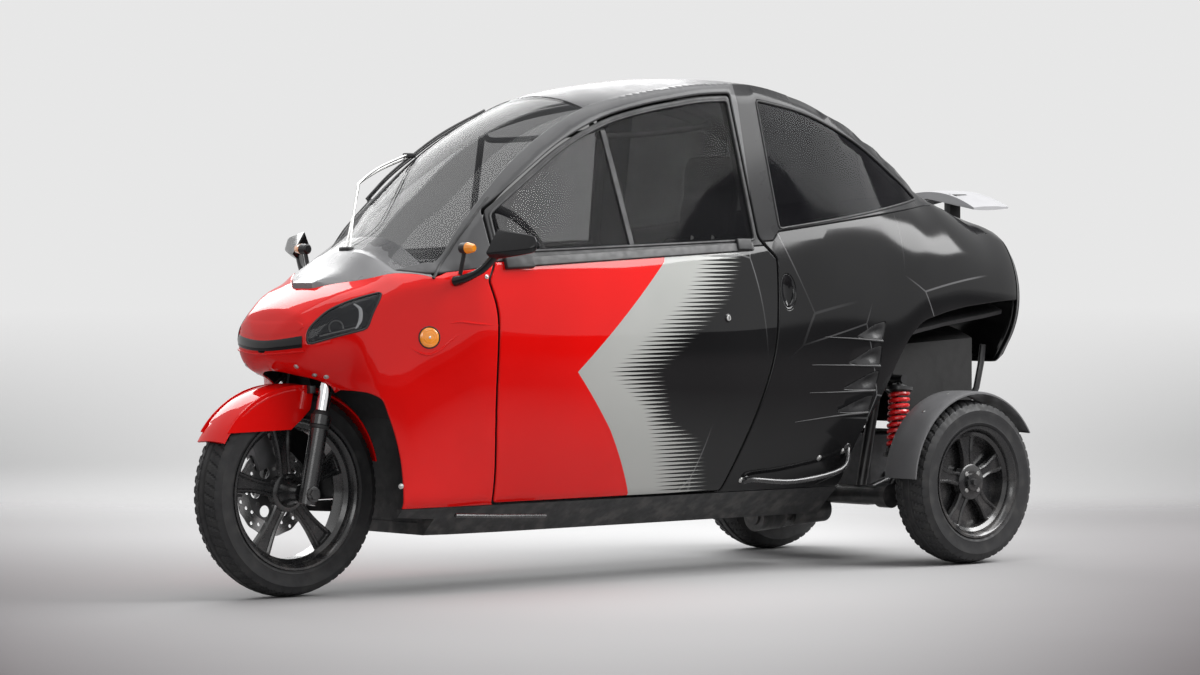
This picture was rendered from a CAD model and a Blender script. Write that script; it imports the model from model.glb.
"""Looks of an enclosed tilting three wheeled car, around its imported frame. Metres, +X forward, +Z up."""

import math

import bmesh
import bpy
import numpy as np
from mathutils import Matrix, Vector, geometry


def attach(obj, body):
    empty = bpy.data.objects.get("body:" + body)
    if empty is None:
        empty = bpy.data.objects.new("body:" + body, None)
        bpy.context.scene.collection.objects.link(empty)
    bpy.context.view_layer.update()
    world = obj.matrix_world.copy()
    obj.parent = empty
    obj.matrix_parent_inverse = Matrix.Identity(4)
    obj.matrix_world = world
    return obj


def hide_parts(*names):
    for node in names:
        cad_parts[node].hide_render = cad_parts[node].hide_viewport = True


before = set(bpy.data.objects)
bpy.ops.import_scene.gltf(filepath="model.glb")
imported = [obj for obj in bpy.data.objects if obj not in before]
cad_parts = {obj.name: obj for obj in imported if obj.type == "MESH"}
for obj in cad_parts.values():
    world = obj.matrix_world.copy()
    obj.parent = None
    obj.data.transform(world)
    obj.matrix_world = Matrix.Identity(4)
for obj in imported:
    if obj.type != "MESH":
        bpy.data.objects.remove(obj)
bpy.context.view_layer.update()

# ---------------------------------------------------------------- the body's outer surface
# x, then half width and height of the floor's edge, the sill, the widest line, the waist and the
# roof rail, then the height of the crown
SECTIONS = (
    (1.245, .076, .628, .096, .636, .122, .662, .102, .716, .078, .738, .746),
    (1.232, .084, .622, .104, .630, .134, .662, .110, .722, .086, .744, .752),
    (1.200, .100, .604, .126, .616, .162, .680, .152, .732, .118, .764, .780),
    (1.110, .142, .566, .168, .590, .214, .700, .205, .776, .170, .814, .830),
    (1.030, .160, .165, .215, .240, .252, .700, .240, .800, .205, .838, .872),
    (.960, .166, .160, .255, .244, .284, .700, .272, .832, .245, .862, .930),
    (.860, .172, .158, .262, .244, .325, .705, .312, .850, .290, .868, 1.000),
    (.750, .176, .156, .266, .245, .362, .712, .350, .882, .280, .991, 1.090),
    (.560, .178, .155, .268, .245, .388, .718, .364, .905, .260, 1.162, 1.240),
    (.405, .178, .155, .269, .245, .396, .720, .366, .918, .250, 1.263, 1.325),
    (.262, .178, .155, .269, .245, .399, .720, .366, .925, .250, 1.330, 1.378),
    (.110, .178, .155, .269, .245, .400, .720, .366, .932, .262, 1.368, 1.405),
    (-.120, .178, .155, .269, .245, .400, .720, .364, .944, .270, 1.400, 1.428),
    (-.270, .178, .155, .268, .245, .398, .722, .362, .956, .270, 1.406, 1.430),
    (-.510, .178, .155, .266, .246, .394, .735, .354, 1.005, .260, 1.368, 1.392),
    (-.720, .178, .155, .264, .250, .386, .760, .332, 1.030, .250, 1.290, 1.311),
    (-.930, .290, .500, .325, .600, .372, .810, .278, 1.054, .226, 1.178, 1.196),
    (-1.060, .270, .560, .308, .640, .358, .830, .224, 1.070, .203, 1.094, 1.110),
    (-1.250, .240, .584, .278, .650, .328, .840, .218, 1.012, .182, 1.030, 1.042),
    (-1.380, .214, .588, .250, .640, .300, .820, .240, .960, .198, .988, 1.001),
    (-1.445, .172, .602, .196, .642, .244, .790, .214, .904, .176, .934, .946),
)
NOSE_X, TAIL_X = SECTIONS[0][0], SECTIONS[-1][0]
RAIL_WIDTH = .032
SEAM = .006                      # gap round doors and tail hatch
STEP_X = .005
STEP_ANGLE = math.radians(.5)
ROUNDING = .014                  # how far a section's corners are softened, along the section
TIP_X = 1.205                    # the nose is rounded off ahead of here
LOWEST, CROWN = -math.pi / 2, math.pi / 2
ANGLE_SCALE = .42                # metres for each radian when a panel is divided
DISH_RUN = .022                  # a dished panel reaches its depth this far in from its edge

XS = np.append(np.arange(TAIL_X, TIP_X, STEP_X),
               TIP_X + (NOSE_X - TIP_X) * np.sin(np.linspace(0, math.pi / 2, 41)))
ANGLES = np.arange(LOWEST, CROWN + STEP_ANGLE / 2, STEP_ANGLE)


def monotone(knots, values, at):
    """Cubic through the knots that never swings past a value."""
    gap = np.diff(knots)[:, None]
    rise = np.diff(values, axis=0) / gap
    before, after = rise[:-1], rise[1:]
    total = np.where(before * after > 0, before + after, 1)
    slope = np.concatenate([rise[:1], np.where(before * after > 0, 2 * before * after / total, 0), rise[-1:]])
    i = np.clip(np.searchsorted(knots, at) - 1, 0, len(gap) - 1)
    h = gap[i]
    t = (at - knots[i])[:, None] / h
    return ((1 + 2 * t) * (1 - t) ** 2 * values[i] + t * (1 - t) ** 2 * h * slope[i]
            + t * t * (3 - 2 * t) * values[i + 1] + t * t * (t - 1) * h * slope[i + 1])


def arc(start, middle, end, count):
    """Complex points of the circle from start through middle to end."""
    w = (end - start) / (middle - start)
    if abs(w.imag) < 1e-6:
        return np.linspace(start, end, count)
    centre = (middle - start) * (w - abs(w) ** 2) / (2j * w.imag) + start
    turn = np.angle((end - centre) / (start - centre))
    if turn * np.angle((middle - centre) / (start - centre)) < 0:
        turn -= math.copysign(2 * math.pi, turn)
    return centre + (start - centre) * np.exp(1j * turn * np.linspace(0, 1, count))


def half_section(row):
    """Half widths and heights at ANGLES about the widest line's height, corners softened."""
    floor, sill, wide, waist, rail = (complex(row[k], row[k + 1]) for k in (0, 2, 4, 6, 8))
    crown = complex(0, row[10])
    dome = arc(rail, crown, complex(-rail.real, rail.imag), 41)[:21]
    points = np.concatenate([[1j * floor.imag, floor], arc(sill, wide, waist, 40), dome])
    run = np.concatenate([[0], np.cumsum(abs(np.diff(points)))])
    count = 500
    places = np.linspace(0, run[-1], count)
    y, z = np.interp(places, run, points.real), np.interp(places, run, points.imag)
    reach = max(1, round(min(ROUNDING, run[-1] / 20) / (run[-1] / count)))
    kernel = np.ones(2 * reach + 1) / (2 * reach + 1)
    y = np.convolve(np.concatenate([-y[reach:0:-1], y, -y[-2:-reach - 2:-1]]), kernel, "valid")
    z = np.convolve(np.concatenate([z[reach:0:-1], z, z[-2:-reach - 2:-1]]), kernel, "valid")
    angle = np.arctan2(z - wide.imag, y)
    return np.interp(ANGLES, angle, y), np.interp(ANGLES, angle, z)


def make_tables():
    """Half widths and heights over XS and ANGLES, and each section's middle height."""
    rows = np.array(SECTIONS[::-1])
    rows = monotone(rows[:, 0], rows[:, 1:], XS)
    tables = np.array([half_section(row) for row in rows])
    tip = np.clip((XS - TIP_X) / (NOSE_X - TIP_X), 0, 1)
    shrink = np.sqrt(1 - tip ** 2)[:, None]
    middle = rows[:, 5][:, None]
    return tables[:, 0] * shrink, middle + (tables[:, 1] - middle) * shrink, middle[:, 0]


HALF_WIDTHS, HEIGHTS, MIDDLES = make_tables()


def blended(table, i, j):
    """Value of a table at fractional places."""
    i0 = np.clip(i.astype(int), 0, len(XS) - 2)
    j0 = np.clip(j.astype(int), 0, len(ANGLES) - 2)
    u, v = np.clip(i - i0, 0, 1), np.clip(j - j0, 0, 1)
    return ((1 - u) * (1 - v) * table[i0, j0] + u * (1 - v) * table[i0 + 1, j0]
            + (1 - u) * v * table[i0, j0 + 1] + u * v * table[i0 + 1, j0 + 1])


def on_skin(x, angle):
    """Points of the body's surface; angles past the crown are on the right side."""
    x, angle = np.asarray(x, float), np.asarray(angle, float)
    side = np.where(angle > CROWN, -1, 1)
    i = np.interp(x, XS, np.arange(len(XS)))
    j = (np.where(angle > CROWN, math.pi - angle, angle) - LOWEST) / STEP_ANGLE
    return np.stack([x, side * blended(HALF_WIDTHS, i, j), blended(HEIGHTS, i, j)], -1)


def skin_normal(x, angle):
    """Unit normals, from points a little to each side."""
    reach = np.minimum(.006, .3 * (NOSE_X - x) + 1e-5)
    along = on_skin(x + reach, angle) - on_skin(x - reach, angle)
    around = on_skin(x, angle + .012) - on_skin(x, angle - .012)
    out = np.cross(around, along)
    return out / (np.linalg.norm(out, axis=-1, keepdims=True) + 1e-12)


def row_of(table, x):
    """The table's row over ANGLES at x."""
    i = min(np.interp(x, XS, np.arange(len(XS))), len(XS) - 1.001)
    share = i - int(i)
    return table[int(i)] * (1 - share) + table[int(i) + 1] * share


def angle_at_z(x, z):
    """Angle where the left side has height z, or just past the crown if it lies above it."""
    heights = row_of(HEIGHTS, x)
    return CROWN + .04 if z > heights[-1] else float(np.interp(z, heights, ANGLES))


def angle_at_y(x, y, upper=True):
    """Angle where the surface has half width y, above or below its widest line."""
    part = ANGLES > .3 if upper else ANGLES < -.6
    widths = row_of(HALF_WIDTHS, x)[part]
    order = slice(None, None, -1) if upper else slice(None)
    return float(np.interp(y, widths[order], ANGLES[part][order]))


# ---------------------------------------------------------------- outlines, (x, z) on the side
DOOR = ((.660, .242), (.720, .500), (.717, .770), (.742, .850), (.712, .905), (.700, 1.040), (.560, 1.132),
        (.405, 1.231), (.262, 1.297), (.110, 1.336), (-.100, 1.369), (-.205, 1.374), (-.240, .965),
        (-.300, .905), (-.287, .788), (-.278, .645), (-.240, .503), (-.199, .361), (-.176, .242))
DOOR_WINDOW = ((.698, .925), (.688, 1.030), (.556, 1.119), (.405, 1.217), (.262, 1.283), (.110, 1.322),
               (-.100, 1.355), (-.196, 1.359), (-.228, .960))
QUARTER_WINDOW = ((-.330, .992), (-.310, 1.362), (-.510, 1.334), (-.720, 1.256), (-.900, 1.152),
                  (-1.010, 1.084), (-.619, 1.026))
GREENHOUSE = ((.958, .880), (.880, .868), (.750, .886), (.700, .905), (-.300, .958), (-.325, .984),
              (-.619, 1.018), (-1.050, 1.066), (-1.085, 1.066), (-1.085, 1.500), (.958, 1.500))
HEADLAMP = ((1.209, .681), (1.206, .716), (1.192, .735), (1.152, .772), (1.096, .799), (1.016, .821),
            (1.048, .770), (1.066, .723), (1.136, .705))
FRONT_ARCH = ((1.300, .080), (1.300, .560), (1.121, .560), (1.065, .553), (1.032, .534), (1.018, .496),
              (.998, .438), (.980, .370), (.969, .303), (.960, .235), (.955, .080))
REAR_ARCH = ((-.640, .080), (-.660, .236), (-.667, .374), (-.740, .505), (-.794, .605), (-.836, .665),
             (-.900, .720), (-1.069, .757), (-1.319, .778), (-1.500, .778), (-1.500, .080))
FORK_OPENING = ((1.085, .137), (1.110, .130), (1.165, .101), (1.200, .053), (1.207, .0))
COWL = ((1.108, .045), (1.000, .196), (.884, .292))
# the door's belt bar and its end blocks, the post between its panes, and what lies above its painted skin
BELT = ((.690, .883), (.690, .909), (-.216, .954), (-.216, .929))
BELT_ENDS = (((.693, .895), (.600, .899)), ((-.150, .944), (-.205, .947)))
POST = ((.228, .938), (.246, .938), (.274, 1.266), (.256, 1.266))
UPPER = ((.780, .897), (.780, 1.500), (-.400, 1.500), (-.400, .952), (-.216, .942))
CATCH_AT = (-.332, .811)
CATCH = tuple((CATCH_AT[0] + .030 * math.cos(a), CATCH_AT[1] + .052 * math.sin(a))
              for a in np.linspace(0, 2 * math.pi, 25)[:-1])
# sunk pockets of the rear body, and the ribs beside them
POCKETS = (((-.610, .679), (-.640, .673), (-.716, .668), (-.728, .721), (-.690, .715)),
           ((-.580, .602), (-.620, .597), (-.712, .595), (-.716, .650), (-.680, .645)),
           ((-.570, .527), (-.610, .524), (-.702, .523), (-.712, .577), (-.680, .571)),
           ((-.560, .462), (-.600, .456), (-.690, .459), (-.700, .505), (-.670, .501)))
RIBS = (((-.475, .680), (-.600, .673), (-.716, .664)), ((-.429, .600), (-.570, .596), (-.712, .591)),
        ((-.434, .519), (-.570, .518), (-.702, .519)), ((-.395, .435), (-.560, .448), (-.690, .455)))
# raised creases of the red side, below the round reflector and behind it
CREASES = (((.978, .687), (.946, .662), (.916, .652), (.885, .664), (.850, .694), (.812, .718)),
           ((.868, .733), (.830, .739), (.780, .733), (.722, .729)))
TAIL_ROUND = .018                # radius of the hatch's rear edge
# x, y and z along the left bar
STEP_BAR = ((-.262, .262, .262), (-.270, .300, .272), (-.423, .318, .262), (-.600, .330, .290),
            (-.640, .318, .345), (-.640, .300, .352))
# x, z and radius of each bolt head
BOLTS = ((-.245, .271, .006), (-.535, .325, .006), (-.627, .342, .006), (1.213, .622, .005),
         (1.165, .599, .005), (1.138, .594, .005), (.975, .300, .005), (.752, .860, .004))
FLOOR_TOP = .236
HATCH_X = -1.379                 # the tail hatch is behind this
NOSE_BACK_X, REAR_FRONT_X = .600, -.1    # where the nose's and the rear's panels end, inside the door gap
GLASS_FRONT_X, GLASS_REAR_X = .300, -.330    # the roof panel lies between these
SCREEN_FOOT_X, SCREEN_TAIL_X = .958, -1.085  # ends of the windscreen and of the rear screen
GLASS_GAP = .004
SIDES = ((1, "left", "door_left_leaf"), (-1, "right", "door_right_leaf"))


def softened(points, radius=.012, closed=True):
    """The outline with its corners rounded: gentle ones widely, sharp ones by the radius."""
    out = []
    points = [Vector(p) for p in points]
    for k, here in enumerate(points):
        if not closed and k in (0, len(points) - 1):
            out.append(tuple(here))
            continue
        before, after = points[k - 1], points[(k + 1) % len(points)]
        turn = (here - before).angle(after - here, 0)
        room = .48 * min((here - before).length, (after - here).length)
        reach = room if turn < math.radians(38) else min(room, radius)
        a, b = here + (before - here).normalized() * reach, here + (after - here).normalized() * reach
        out += [tuple(a * (1 - t) ** 2 + here * 2 * t * (1 - t) + b * t * t) for t in (0, .25, .5, .75, 1)]
    return out


def grown(points, margin):
    """The closed outline pushed outwards by margin."""
    points = [Vector(p) for p in points]
    area = sum(a.cross(b) for a, b in zip(points, points[1:] + points[:1]))
    sign = math.copysign(1, area)
    out = []
    for k, here in enumerate(points):
        a, b = (here - points[k - 1]).normalized(), (points[(k + 1) % len(points)] - here).normalized()
        bisector = (a + b).normalized()
        normal = Vector((bisector.y, -bisector.x)) * sign
        out.append(tuple(here + normal * margin / max(.35, bisector.dot(a))))
    return out


def dense(points, step=.012, closed=True):
    """Points added so that no run is longer than step."""
    out = []
    last = len(points) if closed else len(points) - 1
    for k in range(last):
        a, b = np.array(points[k], float), np.array(points[(k + 1) % len(points)], float)
        count = max(1, math.ceil(np.linalg.norm(b - a) / step))
        out += [tuple(a + (b - a) * n / count) for n in range(count)]
    return out if closed else out + [tuple(points[-1])]


def mirrored(loop):
    """The (x, angle) loop on the other side."""
    return [(x, math.pi - angle) for x, angle in loop]


def side_loops(outline, radius=.012, sides=(1, -1)):
    """(x, z) outline as loops of (x, angle) on the left and right."""
    loop = [(x, angle_at_z(x, z)) for x, z in dense(softened(outline, radius))]
    return [loop if side > 0 else mirrored(loop) for side in sides]


def plan_loop(outline, radius=.012):
    """Symmetric plan given by (x, half width) from the front backwards, over the crown."""
    line = dense(softened(outline, radius, closed=False), closed=False)
    left = [(x, angle_at_y(x, y)) for x, y in line]
    return left + mirrored(left)[::-1]


def under_loops(outline, radius=.012):
    """Symmetric plan on the underside, (x, half width) from the back forwards, as a loop on each side."""
    line = dense(softened(outline, radius, closed=False), closed=False)
    left = [(x, angle_at_y(x, y, upper=False)) for x, y in line]
    left += [(line[-1][0], LOWEST - .02), (line[0][0], LOWEST - .02)]
    return [left, mirrored(left)]


def box_loop(x_from, x_to, angle_from, angle_to):
    corners = ((x_from, angle_from), (x_to, angle_from), (x_to, angle_to), (x_from, angle_to))
    return dense(corners, .02)


def channel_loop(x_from, x_to, margin=0):
    """The crown between the roof rails."""
    xs = np.linspace(x_from, x_to, max(2, int(abs(x_to - x_from) / .012)))
    rails = np.array([row[9] for row in SECTIONS[::-1]])
    places = np.array([row[0] for row in SECTIONS[::-1]])
    left = [(x, angle_at_y(x, np.interp(x, places, rails) - RAIL_WIDTH + margin)) for x in xs]
    return left + mirrored(left)[::-1]


# ---------------------------------------------------------------- panels cut from the surface
def inside(points, loop):
    """Which points lie in the loop."""
    a = np.array(loop)
    b = np.roll(a, -1, axis=0)
    found = np.zeros(len(points), bool)
    for (ax, ay), (bx, by) in zip(a, b):
        crosses = (ay > points[:, 1]) != (by > points[:, 1])
        if crosses.any():
            where = ax + (points[:, 1] - ay) * (bx - ax) / (by - ay if by != ay else 1)
            found ^= crosses & (points[:, 0] < where)
    return found


def in_region(points, keep, cut):
    """Inside every group of keep, where a group is loops that add up, and outside every loop of cut."""
    found = np.ones(len(points), bool)
    for group in keep:
        found &= np.any([inside(points, loop) for loop in group], axis=0)
    for loop in cut:
        found &= ~inside(points, loop)
    return found


def triangulated(points, edges):
    """Points and triangles of (x, angle) points, with the edges kept."""
    flat = [Vector((x, a * ANGLE_SCALE)) for x, a in points]
    verts, _, faces, *_ = geometry.delaunay_2d_cdt(flat, edges, [], 0, 1e-6)
    return np.array([(v.x, v.y / ANGLE_SCALE) for v in verts]), np.array([list(f) for f in faces])


def region_edges(faces):
    """Directed edges with a face on one side only."""
    seen = set()
    for a, b, c in faces.tolist():
        seen |= {(a, b), (b, c), (c, a)}
    return [(a, b) for a, b in seen if (b, a) not in seen]


def distance_to(points, radii, starts, ends):
    """Distance of each point from the nearest segment, angles measured at each point's radius."""
    best = np.full(len(points), 9.0)
    for a, b in zip(starts, ends):
        run = np.stack([np.full(len(points), b[0] - a[0]), (b[1] - a[1]) * radii], -1)
        off = np.stack([points[:, 0] - a[0], (points[:, 1] - a[1]) * radii], -1)
        share = np.clip((off * run).sum(-1) / ((run * run).sum(-1) + 1e-15), 0, 1)
        best = np.minimum(best, np.linalg.norm(off - run * share[:, None], axis=-1))
    return best


def radius_at(points):
    """How far the surface is from its section's middle, which turns angles into lengths."""
    p = on_skin(points[:, 0], points[:, 1])
    middle = np.interp(points[:, 0], XS, MIDDLES)
    return np.maximum(np.hypot(p[:, 1], p[:, 2] - middle), .01)


def new_object(name, verts, faces, materials, indices, angle=40):
    """Smooth shaded mesh object, sharp where faces meet by more than the angle in degrees."""
    mesh = bpy.data.meshes.new(name)
    mesh.from_pydata([tuple(map(float, v)) for v in verts], [], [tuple(int(i) for i in f) for f in faces])
    for material in materials:
        mesh.materials.append(material)
    mesh.polygons.foreach_set("material_index", indices)
    mesh.shade_smooth()
    mesh.set_sharp_from_angle(angle=math.radians(angle))
    obj = bpy.data.objects.new(name, mesh)
    bpy.context.scene.collection.objects.link(obj)
    return obj


def at_join(place):
    """True where the surface meets itself: under the belly and at the tip of the nose."""
    return abs(place[1] - CROWN) > math.pi - 1e-3 or place[0] > NOSE_X - 1e-4


def welded(points, faces):
    """Faces renumbered so that points in one place are one, and the number of the first of each."""
    _, first, same = np.unique(np.round(points, 6), axis=0, return_index=True, return_inverse=True)
    same = same.ravel()
    out = []
    for n, face in enumerate(faces):
        ring = [int(same[k]) for k in face]
        ring = [k for m, k in enumerate(ring) if k != ring[m - 1]]
        if len(set(ring)) > 2:
            out.append((n, tuple(ring)))
    return first, out


def panel(name, keep, cut, materials, depth=.008, roll=.0035, sink=0.0, spacing=.026, dish=0.0):
    """Closed panel of the body's surface with rolled edges; face material first, then back and rim.

    A dish sinks the middle by that much."""
    loops = [loop for group in keep for loop in group] + list(cut)
    points, edges = [], []
    for loop in loops:
        first = len(points)
        points += loop
        edges += [(first + k, first + (k + 1) % len(loop)) for k in range(len(loop))]
    verts, faces = triangulated(points, edges)
    faces = faces[in_region(verts[faces].mean(axis=1), keep, cut)]
    rim = [(a, b) for a, b in region_edges(faces) if not (at_join(verts[a]) and at_join(verts[b]))]

    # one ring where the roll begins and one near the edge
    radii = radius_at(verts)
    inward = np.zeros_like(verts)
    for a, b in rim:
        run = (verts[b] - verts[a]) * (1, radii[a])
        inward[[a, b]] += np.array([-run[1], run[0]]) / (np.linalg.norm(run) + 1e-12)
    size = np.linalg.norm(inward, axis=1, keepdims=True)
    inward = inward / np.maximum(size, .8) * 2 / np.maximum(size, 1.0) if len(rim) else inward
    used = sorted({k for edge in rim for k in edge})
    place = {k: n for n, k in enumerate(used)}
    border = verts[used]
    points = [tuple(p) for p in border]
    edges = [(place[a], place[b]) for a, b in rim]
    starts = np.array([verts[a] for a, _ in rim])
    ends = np.array([verts[b] for _, b in rim])
    for share in (.3, 1.0):
        ring = border + inward[used] * roll * share / np.stack([np.ones(len(used)), radii[used]], -1)
        good = distance_to(ring, radii[used], starts, ends) > .85 * roll * share
        good &= in_region(ring, keep, cut)
        first = len(points)
        place_ring = {n: first + m for m, n in enumerate(np.flatnonzero(good))}
        points += [tuple(p) for p in ring[good]]
        edges += [(place_ring[place[a]], place_ring[place[b]]) for a, b in rim
                  if place[a] in place_ring and place[b] in place_ring]

    low, high = border.min(axis=0), border.max(axis=0)
    xs = np.arange(low[0], min(high[0], TIP_X), spacing)
    if high[0] > TIP_X:
        xs = np.append(xs, TIP_X + (NOSE_X - TIP_X) * np.sin(np.linspace(0, math.pi / 2, 13)[:-1]))
    angles = np.arange(low[1], high[1] + .01, spacing / ANGLE_SCALE)
    fill = np.array([(x, a) for x in xs for a in angles])
    fill = fill[in_region(fill, keep, cut)]
    fill = fill[distance_to(fill, radius_at(fill), starts, ends) > max(.55 * spacing, 1.5 * roll)]
    points += [tuple(p) for p in fill]

    verts, faces = triangulated(points, edges)
    faces = faces[in_region(verts[faces].mean(axis=1), keep, cut)]
    used = np.unique(faces)
    faces = np.searchsorted(used, faces)
    verts = verts[used]
    base = on_skin(verts[:, 0], verts[:, 1])
    normals = skin_normal(verts[:, 0], verts[:, 1])
    normals[verts[:, 0] > NOSE_X - 1e-4] = (1, 0, 0)
    run = distance_to(verts, radius_at(verts), starts, ends)
    near = np.clip(run / roll, 0, 1)
    dip = roll * (1 - np.sqrt(1 - (1 - near) ** 2))
    low = np.clip(run / DISH_RUN, 0, 1) if dish else 0 * run
    dip = dip + dish * low * low * (3 - 2 * low)
    front = base - normals * (sink + dip)[:, None]
    back = base - normals * (sink + depth + dip * (dish > 0))[:, None]
    count = len(verts)
    walls = [(a, b) for a, b in region_edges(faces) if not (at_join(verts[a]) and at_join(verts[b]))]
    all_faces = [tuple(f[::-1]) for f in faces] + [tuple(f + count) for f in faces]
    all_faces += [(a, b, b + count, a + count) for a, b in walls]
    indices = [0] * len(faces) + [1] * (len(faces) + len(walls))
    points = np.concatenate([front, back])
    first, kept = welded(points, all_faces)
    obj = new_object(name, points[first], [face for _, face in kept], materials,
                     [indices[n] for n, _ in kept])

    # the flat of the front takes the surface's own normals
    given = np.where(((near >= .999) & (dish == 0))[:, None], normals, 0)
    given = np.concatenate([given, np.zeros_like(given)])[first]
    obj.data.normals_split_custom_set_from_vertices(given.tolist())
    return obj


def flipped(obj, name):
    """A copy mirrored to the right side."""
    mesh = obj.data.copy()
    mesh.name = name
    mesh.transform(Matrix.Diagonal((1, -1, 1, 1)))
    mesh.flip_normals()
    copy = bpy.data.objects.new(name, mesh)
    bpy.context.scene.collection.objects.link(copy)
    return copy


def place(obj, body, slot, *nodes):
    """Says which body the piece rides on, whose finish it has and which CAD nodes it stands for."""
    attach(obj, body)
    if nodes:
        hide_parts(*nodes)
    return obj


# ---------------------------------------------------------------- closed shapes, each (points, faces)
def moved(shape, matrix):
    points, faces = shape
    return np.array([matrix @ Vector(p) for p in points]), faces


def turned(shape, axis, degrees, centre=(0, 0, 0)):
    to = Matrix.Translation(centre)
    return moved(shape, to @ Matrix.Rotation(math.radians(degrees), 4, axis) @ to.inverted())


def from_bmesh(bm):
    bm.verts.index_update()
    shape = np.array([v.co[:] for v in bm.verts]), [tuple(v.index for v in f.verts) for f in bm.faces]
    bm.free()
    return shape


def block(low, high, bevel=.004, segments=3):
    """Box with rounded edges."""
    bm = bmesh.new()
    bmesh.ops.create_cube(bm, size=1)
    low, high = Vector(low), Vector(high)
    for v in bm.verts:
        v.co = [(a + b) / 2 + c * (b - a) for a, b, c in zip(low, high, v.co)]
    bmesh.ops.bevel(bm, geom=bm.edges[:], offset=bevel, segments=segments, affect="EDGES", profile=.5)
    return from_bmesh(bm)


def plate(outline, thickness, holes=(), bevel=.0015):
    """Flat sheet in XY, raised along Z, with holes through it and eased edges."""
    loops = [list(outline), *[list(hole) for hole in holes]]
    flat, edges = [], []
    for loop in loops:
        first = len(flat)
        flat += loop
        edges += [(first + k, first + (k + 1) % len(loop)) for k in range(len(loop))]
    verts, _, faces, *_ = geometry.delaunay_2d_cdt([Vector(p) for p in flat], edges, [], 0, 1e-7)
    verts, faces = np.array([tuple(v) for v in verts]), np.array([list(f) for f in faces])
    faces = faces[in_region(verts[faces].mean(axis=1), [[loops[0]]], loops[1:])]
    rim = region_edges(faces)
    inward = np.zeros_like(verts)
    for a, b in rim:
        run = verts[b] - verts[a]
        inward[[a, b]] += np.array([-run[1], run[0]]) / (np.linalg.norm(run) + 1e-12)
    inward /= np.maximum(np.linalg.norm(inward, axis=1, keepdims=True), 1e-9)
    half, count = thickness / 2, len(verts)
    rings = ((-half, bevel), (-half + bevel, 0), (half - bevel, 0), (half, bevel))
    points = [np.column_stack([verts + inward * ease, np.full(count, z)]) for z, ease in rings]
    out = [tuple(f[::-1]) for f in faces] + [tuple(f + 3 * count) for f in faces]
    for level in range(3):
        low = level * count
        out += [(a + low, b + low, b + low + count, a + low + count) for a, b in rim]
    return np.concatenate(points), out


def circle(radius, count, centre=(0, 0), start=0.0):
    return [(centre[0] + radius * math.cos(start + 2 * math.pi * k / count),
             centre[1] + radius * math.sin(start + 2 * math.pi * k / count)) for k in range(count)]


def lathe(profile, count=96, shift=None):
    """Closed (radius, y) profile turned about the Y axis; shift(angle, radius, y) lowers the radius."""
    profile = np.array(profile, float)
    angle = np.linspace(0, 2 * math.pi, count, endpoint=False)[:, None]
    radius = profile[None, :, 0] - (shift(angle, profile[None, :, 0], profile[None, :, 1]) if shift else 0)
    y = np.broadcast_to(profile[None, :, 1], radius.shape if shift else (count, len(profile)))
    radius = np.broadcast_to(radius, y.shape)
    points = np.stack([radius * np.cos(angle), y, radius * np.sin(angle)], -1).reshape(-1, 3)
    rows = len(profile)
    faces = []
    for i in range(count):
        for j in range(rows):
            a, b = i * rows + j, i * rows + (j + 1) % rows
            c, d = ((i + 1) % count) * rows + (j + 1) % rows, ((i + 1) % count) * rows + j
            faces.append((a, d, c, b))
    area = sum(p[0] * q[1] - q[0] * p[1] for p, q in zip(profile, np.roll(profile, -1, axis=0)))
    return points, faces if area < 0 else [f[::-1] for f in faces]


def loft(rings, closed=False):
    """Skin over rings of equally many points, with ends closed by fans."""
    rings = [np.array(ring, float) for ring in rings]
    count, rows = len(rings[0]), len(rings)
    points = list(np.concatenate(rings))
    faces = []
    for r in range(rows if closed else rows - 1):
        low, high = r * count, ((r + 1) % rows) * count
        faces += [(low + k, low + (k + 1) % count, high + (k + 1) % count, high + k) for k in range(count)]
    if not closed:
        for ring, first, flip in ((rings[0], 0, True), (rings[-1], (rows - 1) * count, False)):
            middle = len(points)
            points.append(ring.mean(axis=0))
            fan = [(first + k, first + (k + 1) % count, middle) for k in range(count)]
            faces += [f[::-1] for f in fan] if flip else fan
    return np.array(points), faces


def smoothed(points, per=6, closed=False):
    """Catmull-Rom line through the points."""
    p = np.array(points, float)
    before, after = (p[-1:], p[:2]) if closed else (2 * p[:1] - p[1:2], 2 * p[-1:] - p[-2:-1])
    p = np.concatenate([before, p, after])
    out = []
    for k in range(1, len(p) - 2):
        a, b, c, d = p[k - 1:k + 3]
        for t in np.arange(per) / per:
            out.append(.5 * (2 * b + (c - a) * t + (2 * a - 5 * b + 4 * c - d) * t ** 2
                             + (3 * b - a - 3 * c + d) * t ** 3))
    return np.array(out if closed else out + [p[-2]])


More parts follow.
